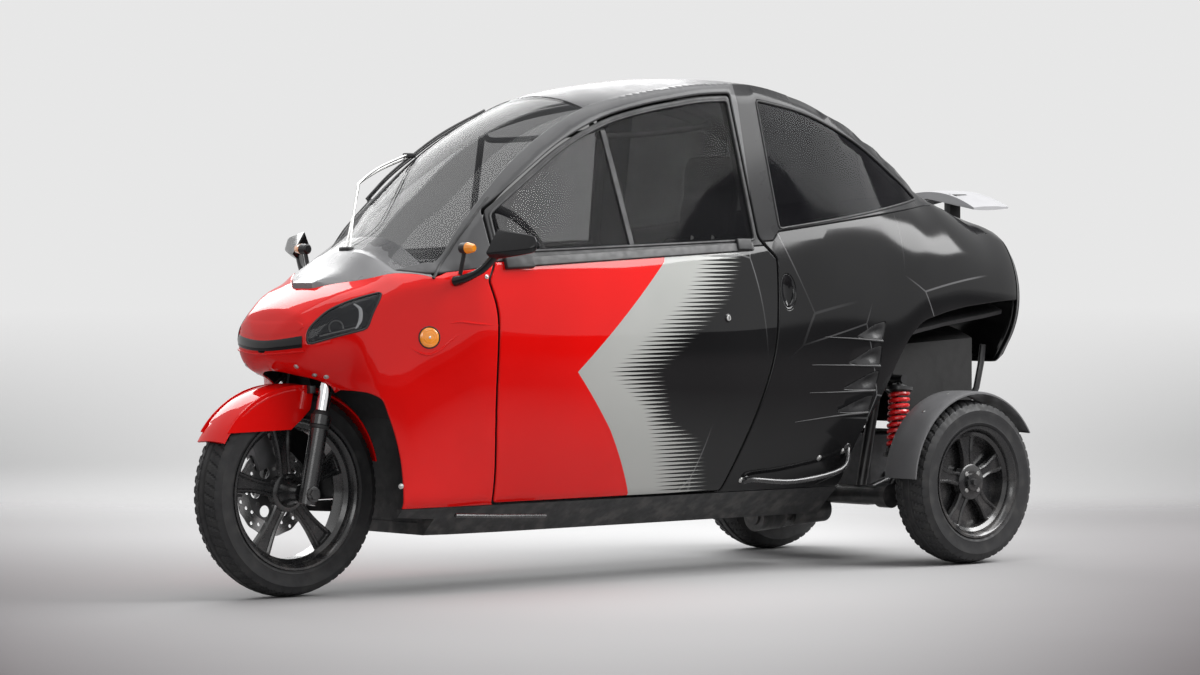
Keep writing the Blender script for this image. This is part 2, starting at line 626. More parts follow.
def tube(points, radius, count=10, closed=False, flat=1.0):
    """Round bar along the points; radius may be a list, and flat squeezes it one way."""
    p = np.array(points, float)
    radii = np.broadcast_to(np.array(radius, float), (len(p),)) if np.ndim(radius) == 0 else np.interp(
        np.linspace(0, 1, len(p)), np.linspace(0, 1, len(radius)), radius)
    ahead = np.roll(p, -1, 0) - np.roll(p, 1, 0)
    if not closed:
        ahead[0], ahead[-1] = p[1] - p[0], p[-1] - p[-2]
    ahead /= np.linalg.norm(ahead, axis=1, keepdims=True) + 1e-12
    side = np.cross(ahead[0], (0, 0, 1) if abs(ahead[0][2]) < .9 else (1, 0, 0))
    rings = []
    for here, along, r in zip(p, ahead, radii):
        side = side - along * side.dot(along)
        side /= np.linalg.norm(side) + 1e-12
        other = np.cross(along, side)
        angle = np.arange(count) * 2 * math.pi / count
        rings.append(here + r * (np.cos(angle)[:, None] * side * flat + np.sin(angle)[:, None] * other))
    if closed:
        return loft(rings, closed=True)
    first = p[0] - ahead[0] * radii[0] * .3 + (rings[0] - p[0]) * .7
    last = p[-1] + ahead[-1] * radii[-1] * .3 + (rings[-1] - p[-1]) * .7
    return loft([first, *rings, last])


def helix(start, end, radius, turns, wire):
    """Coil of round wire about the line from start to end."""
    start, end = Vector(start), Vector(end)
    along = (end - start).normalized()
    side = along.orthogonal().normalized()
    other = along.cross(side)
    steps = int(turns * 26)
    line = []
    for k in range(steps + 1):
        t = k / steps
        angle = 2 * math.pi * turns * t
        line.append(start + (end - start) * t + radius * (side * math.cos(angle) + other * math.sin(angle)))
    return tube(line, wire, 8)


def dome(radius, height, foot=.001, count=32):
    """Shallow round cap standing on Z = 0, its foot just below."""
    profile = [(radius * math.cos(t), height * math.sin(t)) for t in np.linspace(0, math.pi / 2 - .08, 9)]
    angles = np.arange(count) * 2 * math.pi / count
    rings = [(radius, -foot), *profile]
    return loft([[(r * math.cos(a), r * math.sin(a), z) for a in angles] for r, z in rings])


def hexagon(radius, height):
    return plate(circle(radius, 6), height, bevel=.0012)


def merged(name, shapes, materials, angle=35):
    """One object of many shapes, each given as a shape or as (shape, material number)."""
    points, faces, indices = [], [], []
    first = 0
    for item in shapes:
        shape, number = item if isinstance(item[1], int) else (item, 0)
        points.append(shape[0])
        faces += [tuple(k + first for k in f) for f in shape[1]]
        indices += [number] * len(shape[1])
        first += len(shape[0])
    obj = new_object(name, np.concatenate(points), faces, materials, indices, angle)
    bm = bmesh.new()
    bm.from_mesh(obj.data)
    bmesh.ops.recalc_face_normals(bm, faces=bm.faces)
    bm.to_mesh(obj.data)
    bm.free()
    return obj


def skin_at(x, z, side=1):
    """(x, angle) of the side's surface at height z."""
    angle = angle_at_z(x, z)
    return x, angle if side > 0 else math.pi - angle


def skin_point(x, z, side=1, lift=0.0):
    """Point of the side's surface at height z, lifted off it."""
    place = skin_at(x, z, side)
    return Vector(on_skin(*place)) + Vector(skin_normal(*place)) * lift


def skin_frame(x, z, side=1, lift=0.0):
    """Axes on the body's surface: Z outwards and X along the car."""
    out = Vector(skin_normal(*skin_at(x, z, side))).normalized()
    along = (Vector((1, 0, 0)) - out * out.x).normalized()
    axes = Matrix((along, out.cross(along), out)).transposed().to_4x4()
    axes.translation = skin_point(x, z, side, lift)
    return axes


def along_skin(line, side=1, lift=0.0, per=6):
    """(x, z) line laid on the body's surface."""
    return [skin_point(x, z, side, lift) for x, z in smoothed(line, per)]


def seal(loop, radius=.0035, lift=-.001):
    """Rubber round an opening given as a loop of (x, angle)."""
    places = np.array(loop[::2])
    points = on_skin(places[:, 0], places[:, 1]) + skin_normal(places[:, 0], places[:, 1]) * lift
    return tube(points, radius, 8, closed=True)


# ---------------------------------------------------------------- finishes
class Nodes:
    """Short calls for a tree of shader nodes; a value may be a number, a colour or another node's output."""

    def __init__(self, tree):
        self.tree = tree

    def add(self, kind, **settings):
        node = self.tree.nodes.new("ShaderNode" + kind)
        for key, value in settings.items():
            setattr(node, key, value)
        return node

    def give(self, socket, value):
        if isinstance(value, bpy.types.NodeSocket):
            self.tree.links.new(value, socket)
        elif isinstance(value, tuple) and socket.type == "RGBA":
            socket.default_value = (*value, 1)
        else:
            socket.default_value = value

    def math(self, operation, *values):
        node = self.add("Math", operation=operation)
        for socket, value in zip(node.inputs, values):
            self.give(socket, value)
        return node.outputs[0]

    def mix(self, share, a, b):
        node = self.add("Mix", data_type="RGBA")
        for index, given in ((0, share), (6, a), (7, b)):
            self.give(node.inputs[index], given)
        return node.outputs[2]


class Finish(Nodes):
    """One procedural material, patterned in the object's own space."""

    def __init__(self, name, **sockets):
        self.material = bpy.data.materials.new(name)
        self.material.use_nodes = True
        super().__init__(self.material.node_tree)
        self.shader = self.tree.nodes["Principled BSDF"]
        self.place = self.add("TexCoord").outputs["Object"]
        self.set(**sockets)

    def set(self, **sockets):
        """Gives the shader's own sockets their values."""
        for key, value in sockets.items():
            self.give(self.shader.inputs[key.replace("_", " ")], value)

    def noise(self, scale, detail=3.0):
        node = self.add("TexNoise")
        self.give(node.inputs["Vector"], self.place)
        self.give(node.inputs["Scale"], scale)
        self.give(node.inputs["Detail"], detail)
        return node.outputs["Fac"]

    def ramp(self, value, low, high, to_low=0.0, to_high=1.0):
        node = self.add("MapRange", interpolation_type="SMOOTHSTEP")
        for socket, given in zip(node.inputs, (value, low, high, to_low, to_high)):
            self.give(socket, given)
        return node.outputs[0]

    def curve(self, value, points):
        """Straight runs through (input, output) points between 0 and 1."""
        node = self.add("FloatCurve")
        self.give(node.inputs["Value"], value)
        line = node.mapping.curves[0].points
        for k, (x, y) in enumerate(points):
            point = line[k] if k < 2 else line.new(x, y)
            point.location = (x, y)
        for point in line:
            point.handle_type = "VECTOR"
        node.mapping.update()
        return node.outputs[0]

    def bump(self, height, depth):
        node = self.add("Bump")
        self.give(node.inputs["Height"], height)
        self.give(node.inputs["Distance"], depth)
        self.set(Normal=node.outputs["Normal"])

    def axis(self, name):
        node = self.add("SeparateXYZ")
        self.give(node.inputs[0], self.place)
        return node.outputs[name]

    def scaled(self, colour, factor):
        node = self.add("VectorMath", operation="SCALE")
        self.give(node.inputs[0], colour)
        self.give(node.inputs["Scale"], factor)
        return node.outputs[0]


def finish(name, colour, rough, spread=.12, cloud=7.0, grain=300.0, depth=.0001, dust=0.0, **sockets):
    """Colour that clouds a little, mottled roughness, a fine grain and dust that gathers low down."""
    made = Finish(name, **sockets)
    pale = tuple(min(1, c * (1 + spread) + .002) for c in colour)
    deep = tuple(c * (1 - spread) for c in colour)
    paint = made.mix(made.ramp(made.noise(cloud, 4.0), .3, .7), deep, pale)
    if dust:
        low = made.ramp(made.axis("Z"), .0, .45, dust, .0)
        share = made.math("MULTIPLY", low, made.ramp(made.noise(22.0, 5.0), .42, .7))
        paint = made.mix(share, paint, ROAD_DUST)
    made.set(Base_Color=paint,
             Roughness=made.ramp(made.noise(cloud * 5, 3.0), .3, .7, rough * .88, rough * 1.15))
    if depth:
        made.bump(made.noise(grain, 2.0), depth)
    return made.material


def web_lines(made, ground, line_colour):
    """Generic net of thin straight lines, stronger in some places."""
    cells = made.add("TexVoronoi", feature="DISTANCE_TO_EDGE")
    made.give(cells.inputs["Vector"], made.place)
    made.give(cells.inputs["Scale"], LINE_CELLS)
    line = made.ramp(cells.outputs["Distance"], .003, .010, 1.0, .0)
    here = made.ramp(made.noise(2.2, 1.0), .44, .62)
    return made.mix(made.math("MULTIPLY", line, here), ground, line_colour)


def mirror_black(made):
    """The ground colour of the black paint, clouded a little."""
    cloud = made.ramp(made.noise(3.0, 3.0), .3, .7)
    return made.mix(cloud, (.0075, .0075, .008), (.010, .010, .0105))


def livery(name):
    """Red, then a silver band whose rear edge combs out into black."""
    made = Finish(name, Coat_Weight=.7, Coat_Roughness=.03, Specular_IOR_Level=.0)
    z = made.axis("Z")
    place = made.math("MULTIPLY_ADD", made.axis("X"), BAND_SCALE, BAND_SHIFT)

    def edge(points):
        return made.curve(z, [(height, x * BAND_SCALE + BAND_SHIFT) for x, height in points])

    red_edge, comb_edge, black_edge = edge(RED_EDGE), edge(COMB_EDGE), edge(BLACK_EDGE)
    share = made.math("DIVIDE", made.math("SUBTRACT", comb_edge, place),
                      made.math("SUBTRACT", comb_edge, black_edge))
    comb = made.math("FRACT", made.math("DIVIDE", z, COMB_PITCH))
    tooth = made.math("ABSOLUTE", made.math("SUBTRACT", comb, .5))
    dark = made.ramp(made.math("SUBTRACT", share, made.math("MULTIPLY", tooth, 2.0)), -.09, .09)
    red = made.ramp(made.math("SUBTRACT", place, red_edge), -.0006, .0006)
    cloud = made.ramp(made.noise(2.5, 3.0), .3, .7)
    silver = made.mix(cloud, (.40, .41, .39), (.45, .455, .435))
    black = web_lines(made, mirror_black(made), WEB_GREY)
    colour = made.mix(red, made.mix(dark, silver, black), made.mix(cloud, RED_DEEP, RED_PALE))
    made.set(Base_Color=colour, Roughness=made.ramp(made.noise(14.0, 3.0), .3, .7, .24, .32))
    made.bump(made.noise(700.0, 2.0), .00002)
    return made.material


def two_tone(name, ahead, behind, at):
    """Smooth paint that changes at a place along the car."""
    made = Finish(name, Coat_Weight=.2, Coat_Roughness=.10, Specular_IOR_Level=.1)
    cloud = made.ramp(made.noise(4.0, 3.0), .3, .7, .92, 1.06)
    tone = made.mix(made.ramp(made.axis("X"), at - .001, at + .001), behind, ahead)
    made.set(Base_Color=made.scaled(tone, cloud),
             Roughness=made.ramp(made.noise(14.0, 3.0), .3, .7, .27, .34))
    return made.material


def lined_black(name):
    """Black paint with the net of lines."""
    made = Finish(name, Coat_Weight=.6, Coat_Roughness=.11, Specular_IOR_Level=.0)
    made.set(Base_Color=web_lines(made, mirror_black(made), WEB_GREY),
             Roughness=made.ramp(made.noise(12.0, 3.0), .3, .7, .30, .40))
    made.bump(made.noise(700.0, 2.0), .00002)
    return made.material


def tinted(name, colour, alpha, shine=.35):
    """Tinted glass with a faint film."""
    made = Finish(name, Alpha=alpha, IOR=1.5, Specular_IOR_Level=shine)
    film = made.ramp(made.noise(5.0, 4.0), .3, .75)
    made.set(Base_Color=made.mix(film, colour, tuple(c * 1.5 + .004 for c in colour)),
             Roughness=made.ramp(made.noise(9.0, 5.0), .3, .8, .03, .075))
    return made.material


def woven(name, colour, pitch=.0022):
    """Ribbed cloth in object space."""
    made = Finish(name, Sheen_Weight=.06, Sheen_Roughness=.5, Roughness=.9)
    wave = [made.math("SINE", made.math("MULTIPLY", made.axis(axis), 2 * math.pi / pitch)) for axis in "XYZ"]
    weave = made.math("MULTIPLY", made.math("ADD", wave[0], wave[2]), wave[1])
    cloud = made.ramp(made.noise(9.0, 5.0), .3, .7)
    base = made.mix(cloud, tuple(c * .8 for c in colour), tuple(c * 1.25 for c in colour))
    made.set(Base_Color=made.scaled(base, made.ramp(weave, -2.0, 2.0, .55, 1.25)))
    made.bump(weave, .0003)
    return made.material


def rubber(name, colour=(.017, .017, .018), rough=.62):
    """Tyre rubber, greyer where it has scuffed."""
    made = Finish(name, Specular_IOR_Level=.4)
    scuff = made.math("MULTIPLY", made.ramp(made.noise(30.0, 6.0), .45, .75), .5)
    made.set(Base_Color=made.mix(scuff, colour, (.05, .049, .047)),
             Roughness=made.ramp(made.noise(60.0, 4.0), .3, .7, rough * .85, rough * 1.2))
    made.bump(made.noise(450.0, 3.0), .00025)
    return made.material


def brushed(name, colour, rough, centre):
    """Turned metal, its marks in rings about an axle."""
    made = Finish(name, Metallic=1.0)
    x, z = made.axis("X"), made.axis("Z")
    squares = [made.math("POWER", made.math("SUBTRACT", place, middle), 2.0)
               for place, middle in zip((x, z), centre)]
    away = made.math("SQRT", made.math("ADD", *squares))
    rings = made.add("TexNoise", noise_dimensions="1D")
    made.give(rings.inputs["W"], away)
    made.give(rings.inputs["Scale"], 900.0)
    mark = rings.outputs["Fac"]
    made.set(Base_Color=made.mix(mark, tuple(c * .7 for c in colour), colour),
             Roughness=made.ramp(mark, .3, .7, rough * .7, rough * 1.4))
    made.bump(mark, .0001)
    return made.material


ROAD_DUST = (.16, .15, .14)
WEB_GREY = (.11, .11, .112)
LINE_CELLS = 3.4                 # cells of the net of lines in a metre
COMB_PITCH = .0118               # height of one tooth of the comb
# x becomes x * scale + shift, between 0 and 1, where a curve node reads the band's edges
BAND_SCALE, BAND_SHIFT = .9, .32
# (x, z) along the red's edge, and along the roots and tips of the comb's teeth
RED_EDGE = ((.200, .0), (.177, .250), (.317, .434), (.461, .598), (.131, .898), (.100, 1.0))
COMB_EDGE = ((.050, .0), (.070, .250), (.110, .312), (.210, .486), (.352, .594), (.200, .709), (.085, .791),
             (.0, .898), (-.020, 1.0))
BLACK_EDGE = ((-.140, .0), (-.118, .247), (-.030, .394), (.095, .456), (.160, .592), (.050, .679),
              (-.093, .790), (-.156, .897), (-.160, 1.0))
RED_DEEP, RED_PALE = (.72, .003, .002), (.80, .004, .003)
RAIL_BREAK_X = -.236             # the roof rails are grey ahead of here and black behind
# (x, z) of the axles
FRONT_AXLE, REAR_AXLE = (1.165, .280), (-1.015, .243)
HALF_TRACK = .425

RED = finish("red_paint", (.76, .004, .003), .26, spread=.06, cloud=2.5, grain=700.0, depth=.00002,
             Coat_Weight=.7, Coat_Roughness=.03, Specular_IOR_Level=.0)
BAND = livery("door_livery")
LINED = lined_black("black_paint")
COWL_GREY = finish("cowl_grey", (.19, .19, .195), .30, spread=.05, cloud=5.0, grain=500.0, depth=.00006)
RAIL = two_tone("rail_grey", (.085, .085, .087), (.014, .014, .015), RAIL_BREAK_X)
ROOF = finish("roof_gloss", (.12, .12, .122), .30, spread=.08, cloud=3.0, grain=500.0, depth=.00003,
              Coat_Weight=.04, Coat_Roughness=.10, Specular_IOR_Level=.02, Specular_Tint=(.1, .1, .1))
FRAME = finish("frame_black", (.016, .016, .017), .36, cloud=14.0, grain=420.0, depth=.00010, dust=.5,
               Coat_Weight=.3, Coat_Roughness=.25)
PLASTIC = finish("moulded_black", (.014, .014, .015), .48, cloud=10.0, grain=900.0, depth=.00016, dust=.5)
TRIM = finish("trim_black", (.012, .012, .013), .55, cloud=8.0, grain=1100.0, depth=.00016)
GLOSS = finish("gloss_black", (.010, .010, .011), .16, cloud=6.0, grain=500.0, depth=.00003, Coat_Weight=.35,
               Coat_Roughness=.04, Specular_IOR_Level=.15)
moulding = {"spread": .10, "cloud": 6.0, "grain": 800.0}
GREY = finish("cover_grey", (.075, .075, .078), .42, depth=.00010, dust=.3, **moulding)
COVER = finish("cover_black", (.010, .010, .010), .50, depth=.00010, dust=.2, **moulding)
GUARD = finish("guard_grey", (.10, .10, .103), .50, depth=.00010, dust=.3, **moulding)
RIB = finish("rib_grey", (.030, .030, .031), .45, depth=.00005, **moulding)
PALE = finish("spoiler_grey", (.33, .33, .34), .32, spread=.06, cloud=6.0, grain=600.0, depth=.00005)
CAST = finish("cast_metal", (.20, .20, .205), .42, cloud=30.0, grain=700.0, depth=.0002, dust=.3, Metallic=.8)
CHROME = finish("chrome", (.78, .78, .79), .07, spread=.05, cloud=25.0, grain=300.0, depth=.00001,
                Metallic=1.0)
STEEL = finish("zinc_steel", (.55, .55, .54), .32, cloud=60.0, grain=500.0, depth=.00006, Metallic=1.0)
RIM = finish("rim_black", (.012, .012, .013), .26, cloud=18.0, grain=500.0, depth=.00006, dust=.35,
             Coat_Weight=.6, Coat_Roughness=.12)
SPRING = finish("spring_red", (.60, .008, .010), .28, spread=.10, cloud=30.0, grain=400.0, depth=.00005,
                dust=.2, Coat_Weight=.7, Coat_Roughness=.1)
AMBER = finish("amber_lens", (.90, .30, .02), .12, spread=.08, cloud=60.0, grain=500.0, depth=.00005,
               Coat_Weight=1.0, Emission_Color=(.9, .28, .01), Emission_Strength=.12)
LIGHT = finish("lamp_white", (.86, .87, .88), .25, spread=.02, cloud=60.0, grain=300.0, depth=.00003,
               Emission_Color=(.95, .97, 1.0), Emission_Strength=.35)
TAIL = finish("tail_red_lens", (.35, .006, .006), .12, cloud=60.0, grain=300.0, depth=.00004, Coat_Weight=1.0)
TYRE = rubber("tyre_rubber")
HOSE = rubber("hose_rubber", (.012, .012, .013), .45)
GLASS = tinted("tinted_glass", (.022, .023, .025), .27)
PANE = tinted("door_glass", (.008, .008, .009), .40, .05)
DARK_GLASS = tinted("dark_glass", (.004, .004, .005), .78, .04)
LENS = tinted("lamp_lens", (.030, .032, .036), .38)
SEAT = woven("seat_cloth", (.014, .014, .015))
SEAT_SIDE = woven("seat_edge_cloth", (.010, .010, .011), .0030)
DISC = brushed("disc_steel", (.50, .50, .50), .28, FRONT_AXLE)

# CAD nodes whose own shape is shown
NODE_FINISH = {
    "rear_frame": FRAME, "rear_cover": COVER, "drive_unit": CAST, "rear_arms": FRAME, "rear_dampers": FRAME,
    "plate_bracket": PLASTIC, "fork_yoke": FRAME, "fork_stanchions": CHROME, "fork_legs": RIM,
    "front_caliper": CAST, "front_brake_hose": HOSE, "main_frame": FRAME, "floor_pan": PLASTIC,
    "wheelhouse": PLASTIC, "rear_bulkhead": PLASTIC, "battery_pack": GREY}
for node, material in NODE_FINISH.items():
    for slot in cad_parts[node].material_slots:
        slot.material = material


# ---------------------------------------------------------------- outer panels
green = side_loops(GREENHOUSE, .004)
door_gap = side_loops(grown(DOOR, SEAM))
floor_cut = side_loops(((-2, -1), (1.2, -1), (1.2, FLOOR_TOP), (-2, FLOOR_TOP)), .001)
channel = channel_loop(SCREEN_FOOT_X, SCREEN_TAIL_X)
whole_turn = (LOWEST, math.pi - LOWEST)

cowl_cut = plan_loop(((1.108, 0), *COWL, (.5, .292)))
nose = panel("nose_panel", [[box_loop(NOSE_BACK_X, NOSE_X - 1e-6, *whole_turn)]],
             [*green, cowl_cut, *door_gap, *side_loops(HEADLAMP), *side_loops(FRONT_ARCH),
              *under_loops(FORK_OPENING), *floor_cut], [RED, TRIM])
place(nose, "cabin", "front_paint", "nose_shell")

NOSE_MIDDLE = 1.100              # x that the nose's own angles are measured from


def nose_point(way, z, lift):
    """Point of the rounded nose at height z, seen from NOSE_MIDDLE along way."""
    ray = np.array((math.cos(way), math.sin(way)))
    near, far = 0.0, .2
    for _ in range(24):
        reach = (near + far) / 2
        x, y = NOSE_MIDDLE + reach * ray[0], reach * ray[1]
        heights = row_of(HEIGHTS, min(x, NOSE_X))
        inner = x < NOSE_X and heights[0] < z < heights[-1]
        inner = inner and abs(y) < np.interp(z, heights, row_of(HALF_WIDTHS, x))
        near, far = (reach, far) if inner else (near, reach)
    return NOSE_MIDDLE + (near + lift) * ray[0], (near + lift) * ray[1], z


def nose_strip(reach, low, high, lift, depth, rows=8):
    """Thin piece wrapped round the nose; low and high give its edges' heights for -1 to 1 across it."""
    rings = []
    for share in np.sin(np.linspace(-math.pi / 2, math.pi / 2, 61)):
        way = share * reach
        heights = np.linspace(low(share), high(share), rows)
        ease = [lift * (1 - abs(k) ** 6) for k in np.linspace(-1, 1, rows)]
        rings.append([nose_point(way, z, e) for z, e in zip(heights, ease)]
                     + [nose_point(way, z, -depth) for z in heights[::-1]])
    return loft(rings)


def rising(middle, rise, corner=0.0):
    """Height of a strip's edge over -1 to 1: a shallow bow that turns in at the ends by the corner."""
    return lambda t: middle + rise * t * t + corner * max(0, abs(t) - .9) * 10


band = nose_strip(math.radians(51), rising(.6625, .011), rising(.691, .014), .0022, .004)
lip = nose_strip(math.radians(53), rising(.6515, .010), rising(.6565, .010), .0042, .003)
inset = nose_strip(math.radians(52), rising(.699, .016, .012), rising(.743, .004, -.012), .0013, .003)
place(merged("face_band", [band], [GLOSS]), "cabin", "gloss_black", "front_grille")
place(merged("face_lip", [lip], [RED]), "cabin", "front_paint")
place(merged("nose_inset", [inset], [RED]), "cabin", "front_paint")


def cowl():
    """The cowl between nose and windscreen: a flat top with sides that fall to its edges."""
    rings = []
    for x in np.concatenate([[1.1075, 1.1070], np.linspace(1.105, .885, 23)]):
        edge = np.interp(x, [.888, .998, 1.104, 1.108], [.288, .192, .048, .044])
        foot = float(on_skin(x, angle_at_y(x, edge))[2]) - .002
        flat = min(np.interp(x, [.885, .930, 1.108], [.112, .098, .0435]), edge - .002)
        crown = float(row_of(HEIGHTS, x)[-1])
        top = crown + np.interp(x, [.885, .945, .965, 1.060, 1.108], [-.012, -.006, .004, .010, .013])
        top -= .010 if x > 1.1072 else 0
        outline = [(-edge, foot), (-flat, top), (flat, top), (edge, foot), (edge, foot - .006),
                   (0, top - .016), (-edge, foot - .006)]
        rings.append([(x, y, z) for y, z in softened(outline, .003)])
    place(merged("cowl_panel", [loft(rings)], [COWL_GREY], 14), "cabin", "cowl_plastic", "cowl")


cowl()

pocket_cuts = [loop for pocket in POCKETS for loop in side_loops(pocket, .006)]
rear = panel("rear_panel", [[box_loop(HATCH_X, REAR_FRONT_X, *whole_turn)]],
             [*green, *door_gap, *side_loops(REAR_ARCH), *floor_cut, *side_loops(CATCH), *pocket_cuts],
             [LINED, TRIM])
place(rear, "cabin", "rear_paint", "rear_body")


def pockets(side, tag):
    """Bowls of the sunk pockets."""
    for k, pocket in enumerate(POCKETS):
        bowl = panel(f"pocket_{k}_{tag}", [side_loops(pocket, .006, (side,))], [], [TRIM, TRIM], depth=.004,
                     roll=.001, sink=.002, spacing=.012, dish=.016)
        place(bowl, "cabin", "rear_paint")


def door_catch(side, tag):
    """Round dished plate behind the door, with its lever."""
    catch = panel(f"door_catch_{tag}", [side_loops(CATCH, sides=(side,))], [], [GLOSS, TRIM], depth=.004,
                  roll=.001, sink=.0015, spacing=.008, dish=.014)
    place(catch, "cabin", "gloss_black")
    lever = [skin_point(CATCH_AT[0] + .026 * math.cos(a), CATCH_AT[1] + .040 * math.sin(a), side, -.006)
             for a in np.linspace(math.radians(150), math.radians(262), 12)]
    place(merged(f"door_catch_lever_{tag}", [tube(lever, (.003, .006, .007, .004), 10)], [GLOSS]), "cabin",
          "gloss_black")


for side, tag, _ in SIDES:
    pockets(side, tag)
    door_catch(side, tag)

rails = panel("roof_rails", [green], [channel, *door_gap, *side_loops(QUARTER_WINDOW)], [RAIL, TRIM],
              depth=.026)
place(rails, "cabin", "rail_coat", "roof_frame")


def crown_piece(name, x_from, x_to, material, slot, node, depth, sink):
    """A stretch of the crown between the roof rails, with a small gap beside them."""
    region = [[channel_loop(SCREEN_FOOT_X, SCREEN_TAIL_X, .0015)], [box_loop(x_from, x_to, *whole_turn)]]
    piece = panel(name, region, [], [material, material], depth=depth, roll=.0015, sink=sink)
    place(piece, "cabin", slot, node)


crown_piece("windscreen_glass", GLASS_FRONT_X, SCREEN_FOOT_X, GLASS, "clear_glass", "windscreen",
            .005, .001)
crown_piece("roof_top", GLASS_REAR_X, GLASS_FRONT_X - GLASS_GAP, ROOF, "roof_skin", "roof_panel", .009, .001)
crown_piece("rear_screen_glass", SCREEN_TAIL_X, GLASS_REAR_X - GLASS_GAP, DARK_GLASS, "dark_glass",
            "rear_screen", .005, .001)


def side_glass(one, tag, leaf):
    """Quarter window and door window."""
    pane = panel(f"quarter_glass_{tag}", [side_loops(grown(QUARTER_WINDOW, -.001), .012, one)], [],
                 [DARK_GLASS, DARK_GLASS], depth=.005, roll=.0012, sink=.002)
    place(pane, "cabin", "dark_glass", "quarter_windows")
    pane = panel(f"door_pane_{tag}", [side_loops(grown(DOOR_WINDOW, -.001), .012, one)], [], [PANE, PANE],
                 depth=.005, roll=.0012, sink=.003)
    place(pane, leaf, "clear_glass", f"door_glass_{tag}")


def door_panels(one, tag, leaf):
    """Painted skin, the frame round the glass, the belt bar and the post; the right door mirrors the left."""
    if tag == "left":
        skin = panel("door_skin_left", [side_loops(DOOR, sides=one)], side_loops(UPPER, .001, sides=one),
                     [BAND, TRIM], depth=.030, spacing=.020)
        hoop = panel("door_hoop_left", [side_loops(DOOR, sides=one), side_loops(UPPER, .001, sides=one)],
                     side_loops(DOOR_WINDOW, sides=one), [TRIM, TRIM], depth=.030, spacing=.020)
        bar = panel("belt_bar_left", [side_loops(BELT, .004, one)], [], [PLASTIC, PLASTIC], depth=.012,
                    roll=.003, sink=-.006)
        post = panel("window_post_left", [side_loops(POST, .002, one)], [], [TRIM, TRIM], depth=.010,
                     roll=.002, sink=-.001)
    else:
        skin, hoop, bar, post = (flipped(bpy.data.objects[f"{base}_left"], f"{base}_right")
                                 for base in ("door_skin", "door_hoop", "belt_bar", "window_post"))
    place(skin, leaf, "door_paint", f"door_{tag}")
    place(hoop, leaf, "rail_coat", f"door_{tag}")
    place(bar, leaf, "black_plastic")
    place(post, leaf, "rail_coat")


def belt_ends(side, tag, leaf):
    """Blocks at both ends of the belt bar."""
    blocks = []
    for (x_front, z_front), (x_back, z_back) in BELT_ENDS:
        middle = skin_frame((x_front + x_back) / 2, (z_front + z_back) / 2, side, .006)
        long = (x_front - x_back) / 2
        blocks.append(moved(block((-long, -.017, -.010), (long, .017, .006), .004), middle))
    place(merged(f"belt_ends_{tag}", blocks, [TRIM]), leaf, "black_plastic")


def seals(side, tag, leaf):
    """Rubber round the side windows and down the windscreen's pillar."""
    one = (side,)
    ring = seal(side_loops(DOOR_WINDOW, sides=one)[0], .0045, -.001)
    place(merged(f"door_window_seal_{tag}", [ring], [TRIM]), leaf, "black_plastic")
    line = along_skin(((.888, .856), (.824, .916), (.772, .977), (.720, 1.030), (.672, 1.076)), side, .0)
    place(merged(f"pillar_seal_{tag}", [tube(line, .0042, 8)], [TRIM]), "cabin", "black_plastic")
    ring = seal(side_loops(QUARTER_WINDOW, sides=one)[0], .004, -.001)
    place(merged(f"quarter_seal_{tag}", [ring], [TRIM]), "cabin", "black_plastic")


def door_lock(side, tag, leaf):
    """Round lock barrel with its key slot."""
    key = skin_frame(-.088, .739, side)
    lock = [moved(dome(.0125, .003), key),
            (moved(plate(circle(.008, 24), .005, bevel=.001), key @ Matrix.Translation((0, 0, .003))), 1),
            (moved(block((-.0012, -.005, .004), (.0012, .005, .0062), .0004), key), 2)]
    place(merged(f"door_lock_{tag}", lock, [GLOSS, STEEL, TRIM]), leaf, "gloss_black")


for side, tag, leaf in SIDES:
    side_glass((side,), tag, leaf)
    door_panels((side,), tag, leaf)
    belt_ends(side, tag, leaf)
    seals(side, tag, leaf)
    door_lock(side, tag, leaf)


# ---------------------------------------------------------------- tail
def tail_rings():
    """From the middle of the outer face round its rim to the seam, then back inside the shell."""
    angles = np.linspace(LOWEST, math.pi - LOWEST, 121)[:-1]
    middle = np.array([0, 0, MIDDLES[0]])
    rim_x, front_x = TAIL_X + TAIL_ROUND, HATCH_X - SEAM

    def ring(x, inset):
        points = on_skin(np.full(len(angles), x), angles)
        centre = middle + (x, 0, 0)
        away = np.linalg.norm((points - centre)[:, 1:], axis=1, keepdims=True)
        return centre + (points - centre) * (1 - inset / away)

    outer = [ring(rim_x, TAIL_ROUND * (1 - math.cos(t))) - (TAIL_ROUND * math.sin(t), 0, 0)
             for t in np.linspace(math.pi / 2, 0, 7)]
    flat = [middle + (outer[0][:, 0].mean(), 0, 0) + (outer[0] - outer[0].mean(axis=0)) * share
            for share in (.03, .3, .6, .85)]
    sides = [ring(x, 0) for x in np.linspace(rim_x, front_x + .002, 9)[1:]] + [ring(front_x, .002)]
    inner = [ring(x, .011) for x in np.linspace(front_x, rim_x + .004, 6)]
    back = [middle + (rim_x - .002, 0, 0) + (inner[-1] - inner[-1].mean(axis=0)) * share
            for share in (.9, .5, .03)]
    return flat + outer + sides + inner + back


place(merged("tail_hatch_shell", [loft(tail_rings())], [LINED], 50), "hatch", "rear_paint", "tail_hatch")


